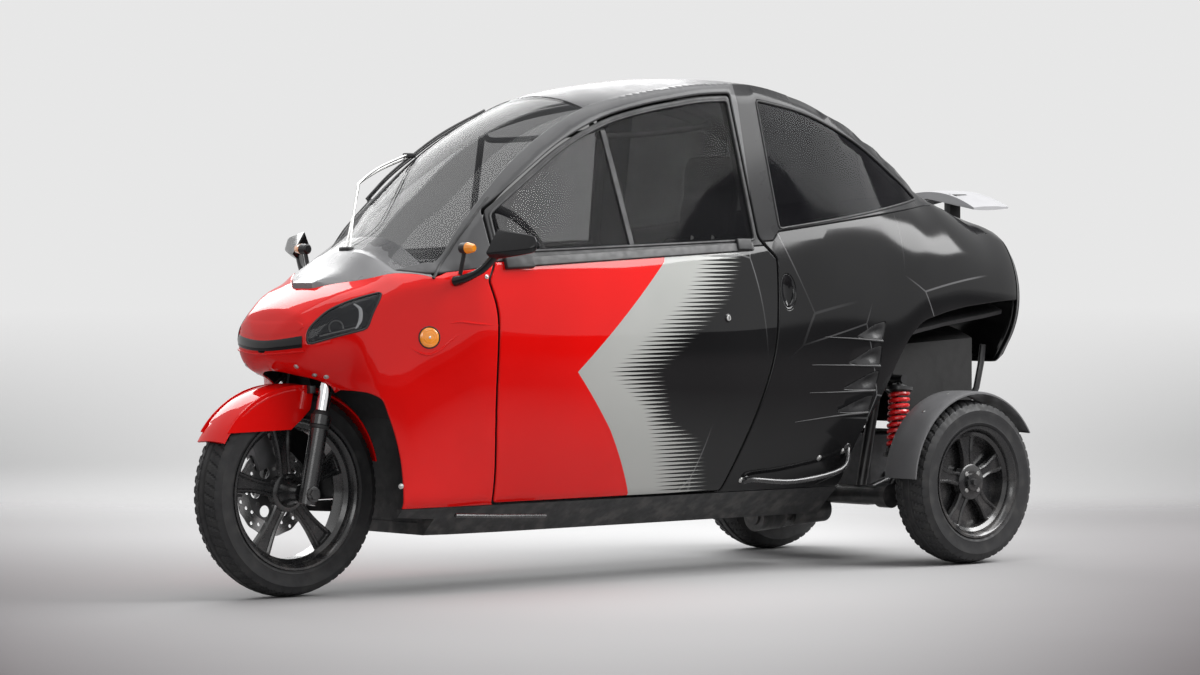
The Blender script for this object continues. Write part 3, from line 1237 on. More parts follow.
def tail_lamps():
    """Red lamps with their frames, and the pull of the hatch."""
    lamps = []
    lamp_outline = [(.052, .842), (.120, .846), (.168, .836), (.176, .812), (.140, .800), (.060, .800)]
    for side in (1, -1):
        face = Matrix(((0, 0, -1, TAIL_X + .0012), (side, 0, 0, 0), (0, 1, 0, 0), (0, 0, 0, 1)))
        lamps.append((moved(plate(softened(lamp_outline, .012), .0024, bevel=.0008), face), 0))
        lamps.append((moved(plate(softened(grown(lamp_outline, .004), .014), .0018, bevel=.0006), face), 1))
    grip = [(TAIL_X + .0016, -.075, .700), (TAIL_X + .0016, 0, .690), (TAIL_X + .0016, .075, .700)]
    lamps.append((tube(smoothed(grip, 8), (.0008, .0016, .0008), 8), 1))
    place(merged("tail_lamps", lamps, [TAIL, GLOSS]), "hatch", "lamp_lens")


tail_lamps()


def spoiler():
    """An arched blade, made from its front edge back, on two stays and a cross bar."""
    rings = []
    for share in np.linspace(0, 1, 15):
        x = -1.298 - .140 * share
        rise = .010 * share ** 1.5
        thick = .0035 + .0035 * math.sin(math.pi * min(1, share * 1.15)) ** .7
        ys = np.linspace(-.204, .204, 33)
        over = 1.060 + .0515 * (1 - (ys / .205) ** 2) - .0035 + rise * .4
        middle = [(x + .006 * (y / .2) ** 2 * (1 - 2 * share), y, z) for y, z in zip(ys, over)]
        rings.append([(x, y, z + thick) for x, y, z in middle]
                     + [(x, y, z - thick * .7) for x, y, z in middle[::-1]])
    stays = [block((-1.352, y - .013, .990), (-1.300, y + .013, 1.104), .006) for y in (-.080, .080)]
    stays.append(block((-1.360, -.115, 1.088), (-1.306, .115, 1.103), .006))
    place(merged("spoiler_lip", [loft(rings), *[(s, 1) for s in stays]], [PALE, PLASTIC]), "cabin",
          "cowl_plastic", "spoiler")


spoiler()

stalks = [tube([(-1.330, s * .205, .640), (-1.327, s * .200, .587), (-1.306, s * .200, .510),
                (-1.290, s * .195, .480)], .010) for s in (1, -1)]
place(merged("tail_stalks", stalks, [FRAME]), "cabin", "frame_coat")


# ---------------------------------------------------------------- face, lamps and small outer parts
def headlamp(side, tag):
    """Lens over a dark bowl with a lamp and a moon-shaped light, in a rubber seal."""
    opening = [side_loops(grown(HEADLAMP, -.001), .010, (side,))]
    bowl = panel(f"headlamp_bowl_{tag}", opening, [], [GLOSS, TRIM], depth=.003, roll=.001, sink=.004,
                 spacing=.010, dish=.022)
    lens = panel(f"headlamp_lens_{tag}", opening, [], [LENS, LENS], depth=.0025, roll=.0015, sink=.0005,
                 spacing=.016)
    moon = along_skin(((1.090, .797), (1.078, .777), (1.080, .747), (1.094, .722)), side, -.010)
    eye = skin_frame(1.140, .728, side, -.024)
    inside_parts = [(tube(moon, (.0015, .0050, .0055, .0015), 10, flat=.6), 0),
                    (moved(dome(.017, .008), eye), 1),
                    (moved(plate(circle(.021, 40), .006, [circle(.0165, 40)]), eye), 2),
                    (tube(along_skin(((1.180, .704), (1.130, .716), (1.084, .728)), side, -.014), .003), 2)]
    place(bowl, "cabin", "gloss_black")
    place(lens, "cabin", "lamp_lens", "headlamps")
    place(merged(f"headlamp_parts_{tag}", inside_parts, [LIGHT, GLASS, STEEL]), "cabin", "lamp_lens")
    place(merged(f"headlamp_seal_{tag}", [seal(side_loops(HEADLAMP, sides=(side,))[0], .0028, .0)], [TRIM]),
          "cabin", "black_plastic")


def side_lens(side, tag):
    """Round amber reflector with raised rings."""
    reflector = skin_frame(.912, .698, side)
    rings = [(moved(plate(circle(r, 44), .0012, [circle(r - .0016, 44)], .0004),
                    reflector @ Matrix.Translation((0, 0, h))), 0) for r, h in ((.021, .0038), (.014, .0048))]
    lamp = [(moved(dome(.027, .0056), reflector), 0), *rings,
            (moved(plate(circle(.0305, 48), .0036, [circle(.0272, 48)]), reflector), 1),
            (moved(dome(.0036, .0020, .002), reflector @ Matrix.Translation((0, 0, .0052))), 2)]
    place(merged(f"side_lens_{tag}", lamp, [AMBER, TRIM, STEEL]), "cabin", "lamp_lens")


def creases_and_ribs(side, tag):
    """Raised lines of the painted sides: creases ahead of the door and ribs over the pockets."""
    ridges = [tube(along_skin(line, side, -.0012), (.0006, .0030, .0036, .0030, .0006), 10)
              for line in CREASES]
    place(merged(f"side_crease_{tag}", ridges, [RED]), "cabin", "front_paint")
    ribs = [tube(along_skin(line, side, .0), (.0008, .0022, .0046), 10) for line in RIBS]
    place(merged(f"side_ribs_{tag}", ribs, [RIB]), "cabin", "rear_paint")


def bolts_and_sill(side, tag):
    """Bolt heads of the body, and the dark rail under the sill."""
    bolts = []
    for x, z, r in BOLTS:
        bolts.append(moved(dome(r, r * .5, count=20), skin_frame(x, z, side)))
        bolts.append(moved(plate(circle(r * 1.5, 20), .0012, bevel=.0004), skin_frame(x, z, side)))
    place(merged(f"body_bolts_{tag}", bolts, [STEEL]), "cabin", "bright_chrome")
    tread_bar = tube([(.790, side * .262, .214), (.640, side * .270, .206), (.480, side * .270, .200)], .006)
    place(merged(f"sill_rail_{tag}", [tread_bar], [RIM]), "cabin", "black_plastic")


def mirror(side, tag):
    """Wedge shaped head, narrower outwards, on a short arm, with the blinker beside its foot."""
    rings = []
    inner = np.array(((.824, .922), (.779, .990), (.760, .946), (.800, .902)))
    outer = np.array(((.762, .934), (.748, .972), (.733, .950), (.746, .922)))
    for y, share, size in ((.428, 0, .72), (.432, .03, .96), (.440, .10, 1), (.500, .56, 1), (.538, .90, 1),
                           (.549, .97, .90), (.5545, 1, .5)):
        corners = inner * (1 - share) + outer * share
        middle = corners.mean(axis=0)
        corners = middle + (corners - middle) * size
        rings.append([(x, side * y, z) for x, z in softened(corners, .006)])
    arm = smoothed([(.838, side * .322, .848), (.826, side * .360, .858), (.808, side * .402, .880),
                    (.792, side * .436, .915)])
    foot = block((.812, side * .330 - .014, .842), (.846, side * .330 + .014, .862), .006)
    glass = (Matrix.Translation((.7510, side * .490, .948)) @ Matrix.Rotation(side * math.radians(16), 4, "Z")
             @ Matrix.Rotation(math.radians(90), 4, "Y"))
    face = moved(plate([(.020 * a, .040 * b) for a, b in circle(1, 40)], .002), glass)
    stem = [(.832, side * .338, .868), (.832, side * .352, .915), (.832, side * .356, .930)]
    blinker = [(tube(stem, .006), 0),
               (tube([(.832, side * .346, .937), (.832, side * .370, .937)], (.0145, .0155), 20), 0),
               (tube([(.832, side * .371, .937), (.832, side * .394, .937)], (.0155, .0150, .011), 20), 1)]
    place(merged(f"mirror_{tag}", [loft(rings), tube(arm, (.014, .010, .012), 14), foot, (face, 1)],
                 [GLOSS, CHROME]), "cabin", "gloss_black", "mirrors")
    place(merged(f"blinker_{tag}", blinker, [PLASTIC, AMBER]), "cabin", "lamp_lens")


for side, tag, _ in SIDES:
    headlamp(side, tag)
    side_lens(side, tag)
    creases_and_ribs(side, tag)
    bolts_and_sill(side, tag)
    mirror(side, tag)


def wiper():
    """Two arms side by side, with the blade and its rubber."""
    routes = (((.952, .006, .930), (.897, -.050, 1.016), (.846, -.095, 1.100), (.822, -.112, 1.122),
               (.721, -.160, 1.163), (.566, -.220, 1.205)),
              ((.942, -.024, .936), (.880, -.072, 1.028), (.826, -.118, 1.104), (.804, -.135, 1.122),
               (.700, -.176, 1.160), (.560, -.222, 1.198)))
    blade = smoothed([(.719, -.220, 1.077), (.642, -.222, 1.142), (.559, -.222, 1.198), (.443, -.222, 1.267),
                      (.291, -.220, 1.335)])
    parts = [*[(tube(smoothed(route, 4), .0034), 0) for route in routes], (tube(blade, .0036, 8), 1),
             (tube([p + np.array((-.003, 0, -.006)) for p in blade], .0026, 8), 1),
             (block((.936, -.032, .922), (.962, .014, .942), .006), 1),
             (block((.548, -.229, 1.194), (.584, -.211, 1.208), .003), 1)]
    place(merged("wiper_set", parts, [STEEL, TRIM]), "cabin", "bright_chrome", "wiper")


wiper()


def step_bars():
    """Bent bars along the lower sides behind the doors, with round feet on the body."""
    bars = []
    for side in (1, -1):
        line = smoothed([(x, side * y, z) for x, y, z in STEP_BAR], 5)
        bars += [tube(line, .0078, 12), moved(dome(.014, .004), skin_frame(-.262, .270, side)),
                 moved(dome(.014, .004), skin_frame(-.640, .352, side))]
    place(merged("step_guards", bars, [RIM]), "cabin", "frame_coat", "step_bars")


step_bars()


# ---------------------------------------------------------------- wheels
def tyre_shape(centre, radius, width, rim_radius, pitches):
    """Bead, wall and crowned tread with slanted grooves, as many round the tyre as pitches says."""
    half, wall = width / 2, radius - rim_radius
    side = [(rim_radius - .005, .40 * width), (rim_radius + .003, .452 * width),
            (rim_radius + .009, .476 * width), (rim_radius + .012, .470 * width),
            (rim_radius + .45 * wall, half - .0006), (rim_radius + .60 * wall, half),
            (rim_radius + .62 * wall, half - .0012), (radius - .020, .462 * width),
            (radius - .011, .425 * width)]
    tread = [(radius - .0125 * (abs(share) / .40) ** 2.3, share * width)
             for share in np.linspace(.40, -.40, 41)]
    profile = side + tread + [(r, -y) for r, y in side[::-1]]

    def grooves(angle, r, y):
        across = np.abs(y) / width
        around = angle * pitches / (2 * math.pi) + 2.2 * across * np.where(y > 0, 1, -1) + .5 * (y > 0)
        cut = ((around % 1) < .25) & (across > .13)
        line = np.abs(across - .10) < .022
        depth = np.where(cut | line, .0036, 0) * (r > radius - .0165)
        return depth + 0 * angle

    points, faces = lathe(profile, pitches * 6, grooves)
    return points + centre, faces


def spindle(centre, stations, count=40):
    """Turned part along Y through (y, radius) stations."""
    angles = np.arange(count) * 2 * math.pi / count
    x, y0, z = centre
    return loft([np.stack([x + r * np.cos(angles), np.full(count, y0 + y), z + r * np.sin(angles)], -1)
                 for y, r in stations])


def upright(shape, centre):
    """Stands a flat XY shape up to face along Y at the centre."""
    return moved(shape, Matrix.Translation(centre) @ Matrix.Rotation(math.radians(90), 4, "X"))


SPOKES = 5
SPOKE_START = 12                 # degrees


def rim_shapes(centre, rim_radius, width, hub_half, out, offset):
    """Barrel with flanges, ribbed spokes and a stepped hub; out is the outer side's sign."""
    half = .435 * width
    edge = [(rim_radius - .001, half + .004), (rim_radius - .001, half - .003),
            (rim_radius - .010, half - .007), (rim_radius - .014, half - .020),
            (rim_radius - .024, half - .026)]
    inner = [(rim_radius - .030, half - .026), (rim_radius - .020, half - .018),
             (rim_radius - .016, half - .004), (rim_radius - .007, half + .004)]
    profile = edge + [(r, -y) for r, y in edge[::-1]] + [(r, -y) for r, y in inner[::-1]] + inner
    barrel, faces = lathe(profile, 120)
    shapes = [(barrel + centre, faces)]
    reach = rim_radius - .020
    x, y, z = centre
    face_y = y + out * offset
    outline = [(.026, -.024), (.070, -.0185), (reach * .62, -.0200), (reach, -.034), (reach, .034),
               (reach * .62, .0200), (.070, .0185), (.026, .024)]
    rib = [(.050, -.0085), (reach * .60, -.0075), (reach - .012, -.018), (reach - .012, .018),
           (reach * .60, .0075), (.050, .0085)]
    for k in range(SPOKES):
        angle = math.radians(SPOKE_START + 360 // SPOKES * k)
        turn = Matrix.Rotation(-angle, 4, "Y")
        spoke = upright(plate(softened(outline, .010), .022, [softened(rib, .006)], .004), (0, 0, 0))
        web = upright(plate(softened(grown(rib, .002), .006), .010, bevel=.001), (0, 0, 0))
        for shape in (spoke, web):
            shapes.append(moved(shape, Matrix.Translation((x, face_y, z)) @ turn))
    hub = [(-hub_half, .020), (-hub_half, .026), (-hub_half * .55, .027), (-.018, .040), (.018, .040),
           (hub_half * .55, .027), (hub_half, .026), (hub_half, .020)]
    shapes.append(spindle((x, y, z), hub))
    boss = [(-.014, .034), (-.012, .052), (.012, .052), (.015, .047), (.015, .030)]
    shapes.append(spindle((x, face_y, z), boss, 60))
    return shapes


def about(axle, radius, degrees, y):
    """Point at a radius from an axle's (x, z); 0 degrees is straight ahead and 90 straight up."""
    a = math.radians(degrees)
    return axle[0] + radius * math.cos(a), y, axle[1] + radius * math.sin(a)


def hub_details(axle, face_y):
    """Star cap and four bolts on a rear hub's face."""
    star = [(r * math.cos(k * math.pi / 4), r * math.sin(k * math.pi / 4)) for k, r in
            enumerate((.017, .007) * 4)]
    bolt_y = face_y - math.copysign(.001, face_y)
    bolts = [upright(hexagon(.0075, .006), about(axle, .034, 45 + 90 * k, bolt_y)) for k in range(4)]
    return [upright(plate(star, .005, bevel=.001), (axle[0], face_y, axle[1])), *bolts]


# piece and body names, axle, y, outer side's sign, radius, width, rim radius, tread pitches,
# half width of the hub, and how far the spokes' middle stands outwards
FRONT_TYRE = (.280, .110, .208, 60, .076, 0.0)
REAR_TYRE = (.243, .130, .167, 52, .045, .020)
WHEELS = (("front", "front_tyre", "front_rim", "front_wheel", FRONT_AXLE, 0, 1, *FRONT_TYRE),
          *[(f"rear_{tag}", f"rear_tyre_{tag}", f"rear_rim_{tag}", f"rear_wheel_{tag}", REAR_AXLE,
             side * HALF_TRACK, side, *REAR_TYRE) for side, tag, _ in SIDES])
for tag, tyre_node, rim_node, body, axle, y, out, *sizes in WHEELS:
    radius, width, rim_radius, pitches, hub_half, offset = sizes
    centre = (axle[0], y, axle[1])
    tyre = tyre_shape(centre, radius, width, rim_radius, pitches)
    place(merged(f"{tag}_tyre_cover", [tyre], [TYRE], 28), body, "tyre_rubber", tyre_node)
    shapes = [(shape, 0) for shape in rim_shapes(centre, rim_radius, width, hub_half, out, offset)]
    if tag != "front":
        backing = (axle[0], y + out * (offset - .024), axle[1])
        shapes.append((spindle(backing, [(-.004, .146), (.004, .146)], 60), 0))
        shapes += [(shape, 1) for shape in hub_details(axle, y + out * (offset + .017))]
    stem = (axle[0] + (rim_radius - .024), y + out * .012, axle[1])
    valve = tube([stem, (stem[0] - .022, stem[1] + out * .010, stem[2])], (.0045, .0035), 10)
    place(merged(f"{tag}_wheel_rim", [*shapes, (valve, 2)], [RIM, STEEL, TYRE]), body, "rim_coat", rim_node)


def brake_disc():
    """Drilled disc with a wavy edge, on a carrier with six bolts."""
    holes = [circle(.0046, 12, ((.088 + .011 * (k % 3)) * math.cos(k * math.pi / 15),
                                (.088 + .011 * (k % 3)) * math.sin(k * math.pi / 15))) for k in range(30)]
    wave = [(r * math.cos(a), r * math.sin(a)) for a, r in
            ((a, .1195 + .0012 * math.cos(15 * a)) for a in np.linspace(0, 2 * math.pi, 151)[:-1])]
    carrier = [circle(.016, 20, (.060 * math.cos(k * math.pi / 3), .060 * math.sin(k * math.pi / 3)))
               for k in range(6)]
    ring = plate(wave, .0045, [circle(.079, 72), *holes], .0006)
    spider = plate(circle(.0825, 72), .004, carrier, .0006)
    disc = [(upright(ring, about(FRONT_AXLE, 0, 0, -.0595)), 0),
            (upright(spider, about(FRONT_AXLE, 0, 0, -.0580)), 1)]
    disc += [(upright(hexagon(.006, .010), about(FRONT_AXLE, .062, 30 + 60 * k, -.0585)), 2)
             for k in range(6)]
    place(merged("front_disc_drilled", disc, [DISC, CAST, STEEL]), "front_wheel", "disc_steel",
          "front_brake_disc")


brake_disc()
# ---------------------------------------------------------------- fork, fender and rear unit
RAKE = math.radians(12)          # the fork leans back from upright
LEG_WAY = Vector((-math.sin(RAKE), 0, math.cos(RAKE)))
LEG_Y = .100


def on_leg(along, side, shift=(0, 0, 0)):
    """Point on a fork leg's axis, measured up from the axle."""
    return Vector(about(FRONT_AXLE, 0, 0, 0)) + LEG_WAY * along + Vector((0, side * LEG_Y, 0)) + Vector(shift)


def fork_details():
    """Dust seals, axle nuts and clamp bolts."""
    extras = []
    for side in (1, -1):
        nut, washer = (Vector(about(FRONT_AXLE, 0, 0, side * y)) for y in (.128, .124))
        extras += [(tube([on_leg(.180, side), on_leg(.187, side)], .0268, 24), 0),
                   (tube([on_leg(.2155, side), on_leg(.225, side)], (.024, .0205), 24), 0),
                   (upright(hexagon(.015, .010), nut), 1),
                   (spindle(washer, [(-.004, .021), (.002, .021), (.003, .018)], 30), 1)]
        for dx in (-.014, .014):
            ends = [on_leg(-.006, side, (dx, side * out, 0)) for out in (.022, .029)]
            extras.append((tube(ends, .006, 6), 1))
    place(merged("fork_small_parts", extras, [TRIM, FRAME]), "front_fork", "bright_chrome")


fork_details()


def front_fender():
    """A bowed sheet over the wheel from 30 to 164 degrees, its flanks and brackets."""
    rings = []
    for degrees in np.linspace(30, 164, 56):
        grow = min(1, max(0, (degrees - 30) / 34))
        half = .064 * (.95 + .05 * grow * grow * (3 - 2 * grow))
        half *= .80 + .20 * min(1, (164 - degrees) / 30)
        drop = .010 * (.5 + .5 * grow)
        cross = [(-half, -drop), (-half * .80, -.0010), (-half * .35, .0035), (0, .0042), (half * .35, .0035),
                 (half * .80, -.0010), (half, -drop)]
        rings.append([about(FRONT_AXLE, .2905 + rise, degrees, y) for y, rise in cross]
                     + [about(FRONT_AXLE, .2865 + rise, degrees, y * .985) for y, rise in cross[::-1]])
    brackets = []
    for side in (1, -1):
        y_low, y_high = sorted((side * .058, side * .077))
        for degrees in (97, 107):
            x, _, z = about(FRONT_AXLE, .286, degrees, 0)
            brackets.append((block((x - .010, y_low, z - .016), (x + .010, y_high, z + .006), .002), 1))
    skirt = [about(FRONT_AXLE, .2915, degrees, 0)[::2] for degrees in np.linspace(36, 100, 25)]
    skirt += [(1.128, .505), (1.160, .476), (1.192, .452), (1.400, .448)]
    flanks = [(upright(plate(skirt, .0025, bevel=.0008), (0, side * .0610, 0)), 0) for side in (1, -1)]
    place(merged("front_fender_sheet", [loft(rings), *brackets, *flanks], [RED, FRAME], 14), "front_fork",
          "front_paint", "front_fender")


front_fender()
# (y, radius) across a mudguard, its outside and then its inside
GUARD_OUTER = ((.3605, .2610), (.3610, .2655), (.3680, .2685), (.3960, .2697), (.4235, .2700), (.4510, .2697),
               (.4790, .2685), (.4860, .2655), (.4865, .2610))
GUARD_INNER = ((.4840, .2610), *[(y * .985 + .0064, r - .0030) for y, r in GUARD_OUTER[-2:0:-1]],
               (.3630, .2610))


def rear_mudguards():
    """Curved sheets with their bolts and stays."""
    guards = []
    for side in (1, -1):
        rings = [[about(REAR_AXLE, r, degrees, side * y) for y, r in GUARD_OUTER + GUARD_INNER]
                 for degrees in np.linspace(4, 148, 50)]
        guards.append((loft(rings), 0))
        for degrees in (52, 76, 104, 128):
            turn = (Matrix.Translation(about(REAR_AXLE, .2705, degrees, side * .4235))
                    @ Matrix.Rotation(math.radians(90 - degrees), 4, "Y"))
            guards.append((moved(dome(.0055, .0015, count=16), turn @ Matrix.Translation((0, 0, -.0012))), 2))
        for degrees in (76, 128):
            high = about(REAR_AXLE, .264, degrees, side * .366)
            low = about(REAR_AXLE, .030, degrees, side * .349)
            guards.append((tube([high, (high[0], side * .3535, high[2] - .006), low], .0055, 10), 1))
    place(merged("rear_mudguard_sheets", guards, [GUARD, FRAME, STEEL]), "rear_unit", "black_plastic",
          "rear_mudguards")


rear_mudguards()


def rear_springs():
    """Coils between their seats; the dampers inside are CAD."""
    springs = []
    for side in (1, -1):
        low, high = Vector((-.850, side * .310, .318)), Vector((-.878, side * .296, .548))
        way = high - low
        springs += [(helix(low + way * .10, low + way * .84, .0270, 9.5, .0066), 0)]
        springs += [(tube([low + way * s, low + way * (s + .035)], .0310, 28), 1) for s in (.06, .845)]
    place(merged("rear_coils", springs, [SPRING, FRAME]), "rear_unit", "spring_coat", "rear_springs")


rear_springs()


# ---------------------------------------------------------------- seats, dashboard and hand wheel
def foam(name, low, high, bevel, lean, pivot, cloth):
    """A soft block remeshed fine, ready to be inflated; lean tips it back about its pivot."""
    shape = turned(block(low, high, bevel, 4), "Y", lean, pivot)
    obj = merged(name, [shape], [cloth])
    remesh = obj.modifiers.new("fine", "REMESH")
    remesh.mode, remesh.voxel_size = "VOXEL", VOXEL
    bake(obj)
    return obj


def bake(obj):
    """Replaces the mesh by the result of its modifiers."""
    seen = obj.evaluated_get(bpy.context.evaluated_depsgraph_get())
    mesh = bpy.data.meshes.new_from_object(seen)
    obj.modifiers.clear()
    obj.data = mesh


def inflated(pads):
    """Blows the pads up as cloth; no point moves more than the cap, or towards what the pad rests on."""
    before = {}
    for obj in pads:
        vertices = obj.data.vertices
        before[obj] = np.array([v.co for v in vertices]), np.array([v.normal for v in vertices])
        settings = obj.modifiers.new("foam", "CLOTH").settings
        settings.use_pressure, settings.uniform_pressure_force = True, PRESSURE
        settings.effector_weights.gravity = 0
        settings.quality = 4
    for step in range(1, FRAMES + 1):
        bpy.context.scene.frame_set(step)
    for obj, (cap, rest) in pads.items():
        bake(obj)
        points, normals = before[obj]
        moves = np.array([v.co for v in obj.data.vertices]) - points
        far = np.linalg.norm(moves, axis=1, keepdims=True)
        moves *= np.minimum(1, cap / np.maximum(far, 1e-9))
        toward = normals @ np.array(rest)
        moves *= np.clip(1 - 1.6 * toward, 0, 1)[:, None]
        for vertex, place_now in zip(obj.data.vertices, points + moves):
            vertex.co = place_now
    bpy.context.scene.frame_set(1)


def channelled(obj, across, lines, out, depth=.006, width=.010):
    """Presses sewn channels into the face that looks along out."""
    obj.data.update()
    for vertex in obj.data.vertices:
        facing = max(0, vertex.normal.dot(Vector(out)))
        place_now = vertex.co.dot(Vector(across))
        sink = sum(math.exp(-((place_now - line) / width) ** 2) for line in lines)
        vertex.co -= vertex.normal * depth * sink * min(1, facing * 1.4)
    obj.data.shade_smooth()
    smooth = obj.modifiers.new("round", "SUBSURF")
    smooth.levels = smooth.render_levels = 1
    bake(obj)


def piping(obj, points, radius=.0035):
    """Cord sewn round a pad, pulled on to its surface."""
    line = []
    for p in points:
        found, near, normal, _ = obj.closest_point_on_mesh(Vector(p))
        line.append(near + normal * radius * .2)
    return tube(line, radius, 8, closed=True)


def loop_in(plane, low, high, level, corner=.05):
    """Rounded rectangle at a level of the third axis; plane names two axes by number."""
    (a0, a1), (b0, b1) = (low[0], high[0]), (low[1], high[1])
    flat = dense(softened([(a0, b0), (a1, b0), (a1, b1), (a0, b1)], corner), .02)
    out = []
    for a, b in flat:
        p = [0, 0, 0]
        p[plane[0]], p[plane[1]], p[3 - sum(plane)] = a, b, level
        out.append(p)
    return out


VOXEL = .011
PRESSURE = 4
FRAMES = 20
LEAN = -8.0                      # degrees that the front backrest and headrest lean back
back_at, head_at = (-.338, 0, .705), (-.385, 0, 1.085)
lean_out = Matrix.Rotation(math.radians(LEAN), 3, "Y") @ Vector((1, 0, 0))
cushion = foam("front_seat_cushion", (-.322, -.197, .368), (.102, .197, .462), .034, 0, (0, 0, 0), SEAT)
back = foam("front_seat_back", (-.376, -.189, .438), (-.302, .189, .978), .034, LEAN, back_at, SEAT)
head = foam("front_seat_head", (-.415, -.108, .962), (-.355, .108, 1.208), .028, LEAN, head_at, SEAT)
base = foam("rear_seat_base", (-.650, -.188, .403), (-.408, .188, .482), .028, 0, (0, 0, 0), SEAT)
upright_pad = foam("rear_seat_back", (-.653, -.188, .448), (-.592, .188, .962), .026, 0, (0, 0, 0), SEAT)
pads = {cushion: (.007, (0, 0, -1)), back: (.007, tuple(-lean_out)), head: (.007, tuple(-lean_out)),
        base: (.006, (0, 0, -1)), upright_pad: (.006, (-1, 0, 0))}
inflated(pads)
channelled(cushion, (1, 0, 0), (-.23, -.14, -.05, .04), (0, 0, 1))
channelled(back, (0, 0, 1), (.52, .60, .68, .76, .84), tuple(lean_out))
channelled(head, (0, 0, 1), (1.10,), tuple(lean_out))
channelled(base, (0, 1, 0), (-.10, 0, .10), (0, 0, 1))
channelled(upright_pad, (0, 0, 1), (.55, .65, .75, .85), (1, 0, 0))
cords = [piping(cushion, loop_in((0, 1), (-.335, -.21), (.115, .21), .440)),
         piping(base, loop_in((0, 1), (-.66, -.2), (-.395, .2), .466)),
         piping(upright_pad, loop_in((1, 2), (-.2, .436), (.2, .975), -.600))]
lean_loop = turned((np.array(loop_in((1, 2), (-.2, .425), (.2, .99), -.318)), []), "Y", LEAN, back_at)[0]
cords.append(piping(back, lean_loop))
head_loop = turned((np.array(loop_in((1, 2), (-.12, .95), (.12, 1.22), -.370)), []), "Y", LEAN, head_at)[0]
cords.append(piping(head, head_loop, .0028))
hardware = [(shape, 0) for shape in cords]
for y in (-.045, .045):
    hardware.append((tube([(-.352, y, .93), (-.366, y, 1.03)], .006, 12), 1))
hardware.append((block((-.300, -.150, .3665), (.080, .150, .3705), .0015), 2))
place(merged("seat_piping", hardware, [SEAT_SIDE, STEEL, PLASTIC]), "cabin", "seat_fabric")
for pad, node in ((cushion, "front_seat"), (back, "front_seat"), (head, "front_seat"), (base, "rear_seat"),
                  (upright_pad, "rear_seat")):
    place(pad, "cabin", "seat_fabric", node)


def dashboard():
    """A shelf across the car with its display, vents, steering column and stalks."""
    shelf = []
    for y in np.linspace(-.298, .298, 25):
        ease = min(1, (1 - abs(y) / .302) * 7)
        low_x, high_x = .700 - .008 * ease, .842 + .006 * ease
        low_z, high_z = .712 - .010 * ease, .800 + .048 * ease
        ring = softened([(low_x, .735), (low_x + .030, low_z), (high_x, low_z), (high_x, .800),
                         (high_x - .030, high_z), (low_x + .046, high_z), (low_x + .004, .800)], .016)
        shelf.append([(x, y, z) for x, z in ring])
    fascia = [(loft(shelf), 0), (block((.700, -.088, .838), (.716, .088, .906), .006), 1),
              (block((.6975, -.078, .846), (.7008, .078, .898), .0012), 2)]
    for y in (-.215, .215):
        vent = Matrix.Translation((.702, y, .772)) @ Matrix.Rotation(math.radians(-90), 4, "Y")
        fascia.append((moved(plate(circle(.030, 40), .006, [circle(.025, 40)], .001), vent), 1))
        fascia += [(block((.6985, y - .024, .755 + .011 * k), (.7035, y + .024, .7575 + .011 * k), .0008), 1)
                   for k in range(4)]
    column = [(.694, 0, .754), (.640, 0, .779), (.560, 0, .816), (.470, 0, .858), (.415, 0, .883)]
    fascia.append((tube(smoothed(column, 3), (.036, .030, .026, .026, .030), 24, flat=.9), 0))
    for side in (1, -1):
        fascia.append((tube([(.455, side * .024, .866), (.447, side * .085, .872), (.445, side * .125, .878)],
                            (.005, .0045, .006), 10), 1))
    place(merged("dash_fascia", fascia, [PLASTIC, GLOSS, LENS], 40), "cabin", "black_plastic", "dashboard")


dashboard()


def hand_wheel():
    """Rim, hub and three spokes, made flat and then tilted on to the column."""
    tilt = math.radians(25)
    wheel_way = Vector((-math.cos(tilt), 0, math.sin(tilt)))
    across = Vector((0, 1, 0))
    axes = Matrix((across, wheel_way.cross(across), wheel_way)).transposed().to_4x4()
    axes.translation = Vector((.395, 0, .893)) + wheel_way * .016
    grip_r = .165
    around = np.linspace(0, 2 * math.pi, 97)[:-1]
    grip_line = [(grip_r * math.cos(a), grip_r * math.sin(a), 0) for a in around]
    grip_size = [.0118 + .0011 * math.cos(4 * a) for a in around]
    wheel = [(moved(tube(grip_line, grip_size, 16, closed=True), axes), 0)]
    hub_outline = softened([(-.062, -.030), (-.040, -.058), (.040, -.058), (.062, -.030), (.052, .036),
                            (-.052, .036)], .018)
    wheel.append((moved(plate(hub_outline, .030, bevel=.006), axes @ Matrix.Translation((0, 0, -.004))), 1))
    wheel.append((moved(dome(.022, .004, count=28), axes @ Matrix.Translation((0, 0, .0112))), 2))
    for angle in (0, 180, 270):
        a = math.radians(angle)
        spoke = [(r * math.cos(a), r * math.sin(a), h) for r, h in
                 ((.045, -.006), (.090, -.009), (.130, -.006), (.160, 0))]
        wheel.append((moved(tube(smoothed(spoke, 4), (.016, .013, .011), 14, flat=.45), axes), 2))
    wheel.append((moved(tube([(0, 0, -.018), (0, 0, -.002)], (.034, .030), 30), axes), 1))
    place(merged("hand_wheel_set", wheel, [TRIM, PLASTIC, GLOSS], 40), "hand_wheel", "black_plastic",
          "steering_wheel")


hand_wheel()
for side, tag, leaf in SIDES:
    grab = smoothed([(.262, side * .252, 1.262), (.240, side * .236, 1.250), (.050, side * .236, 1.262),
                     (-.130, side * .240, 1.284), (-.152, side * .262, 1.305)], 5)
    place(merged(f"door_grab_bar_{tag}", [tube(grab, .0085, 12)], [TRIM]), leaf, "black_plastic")

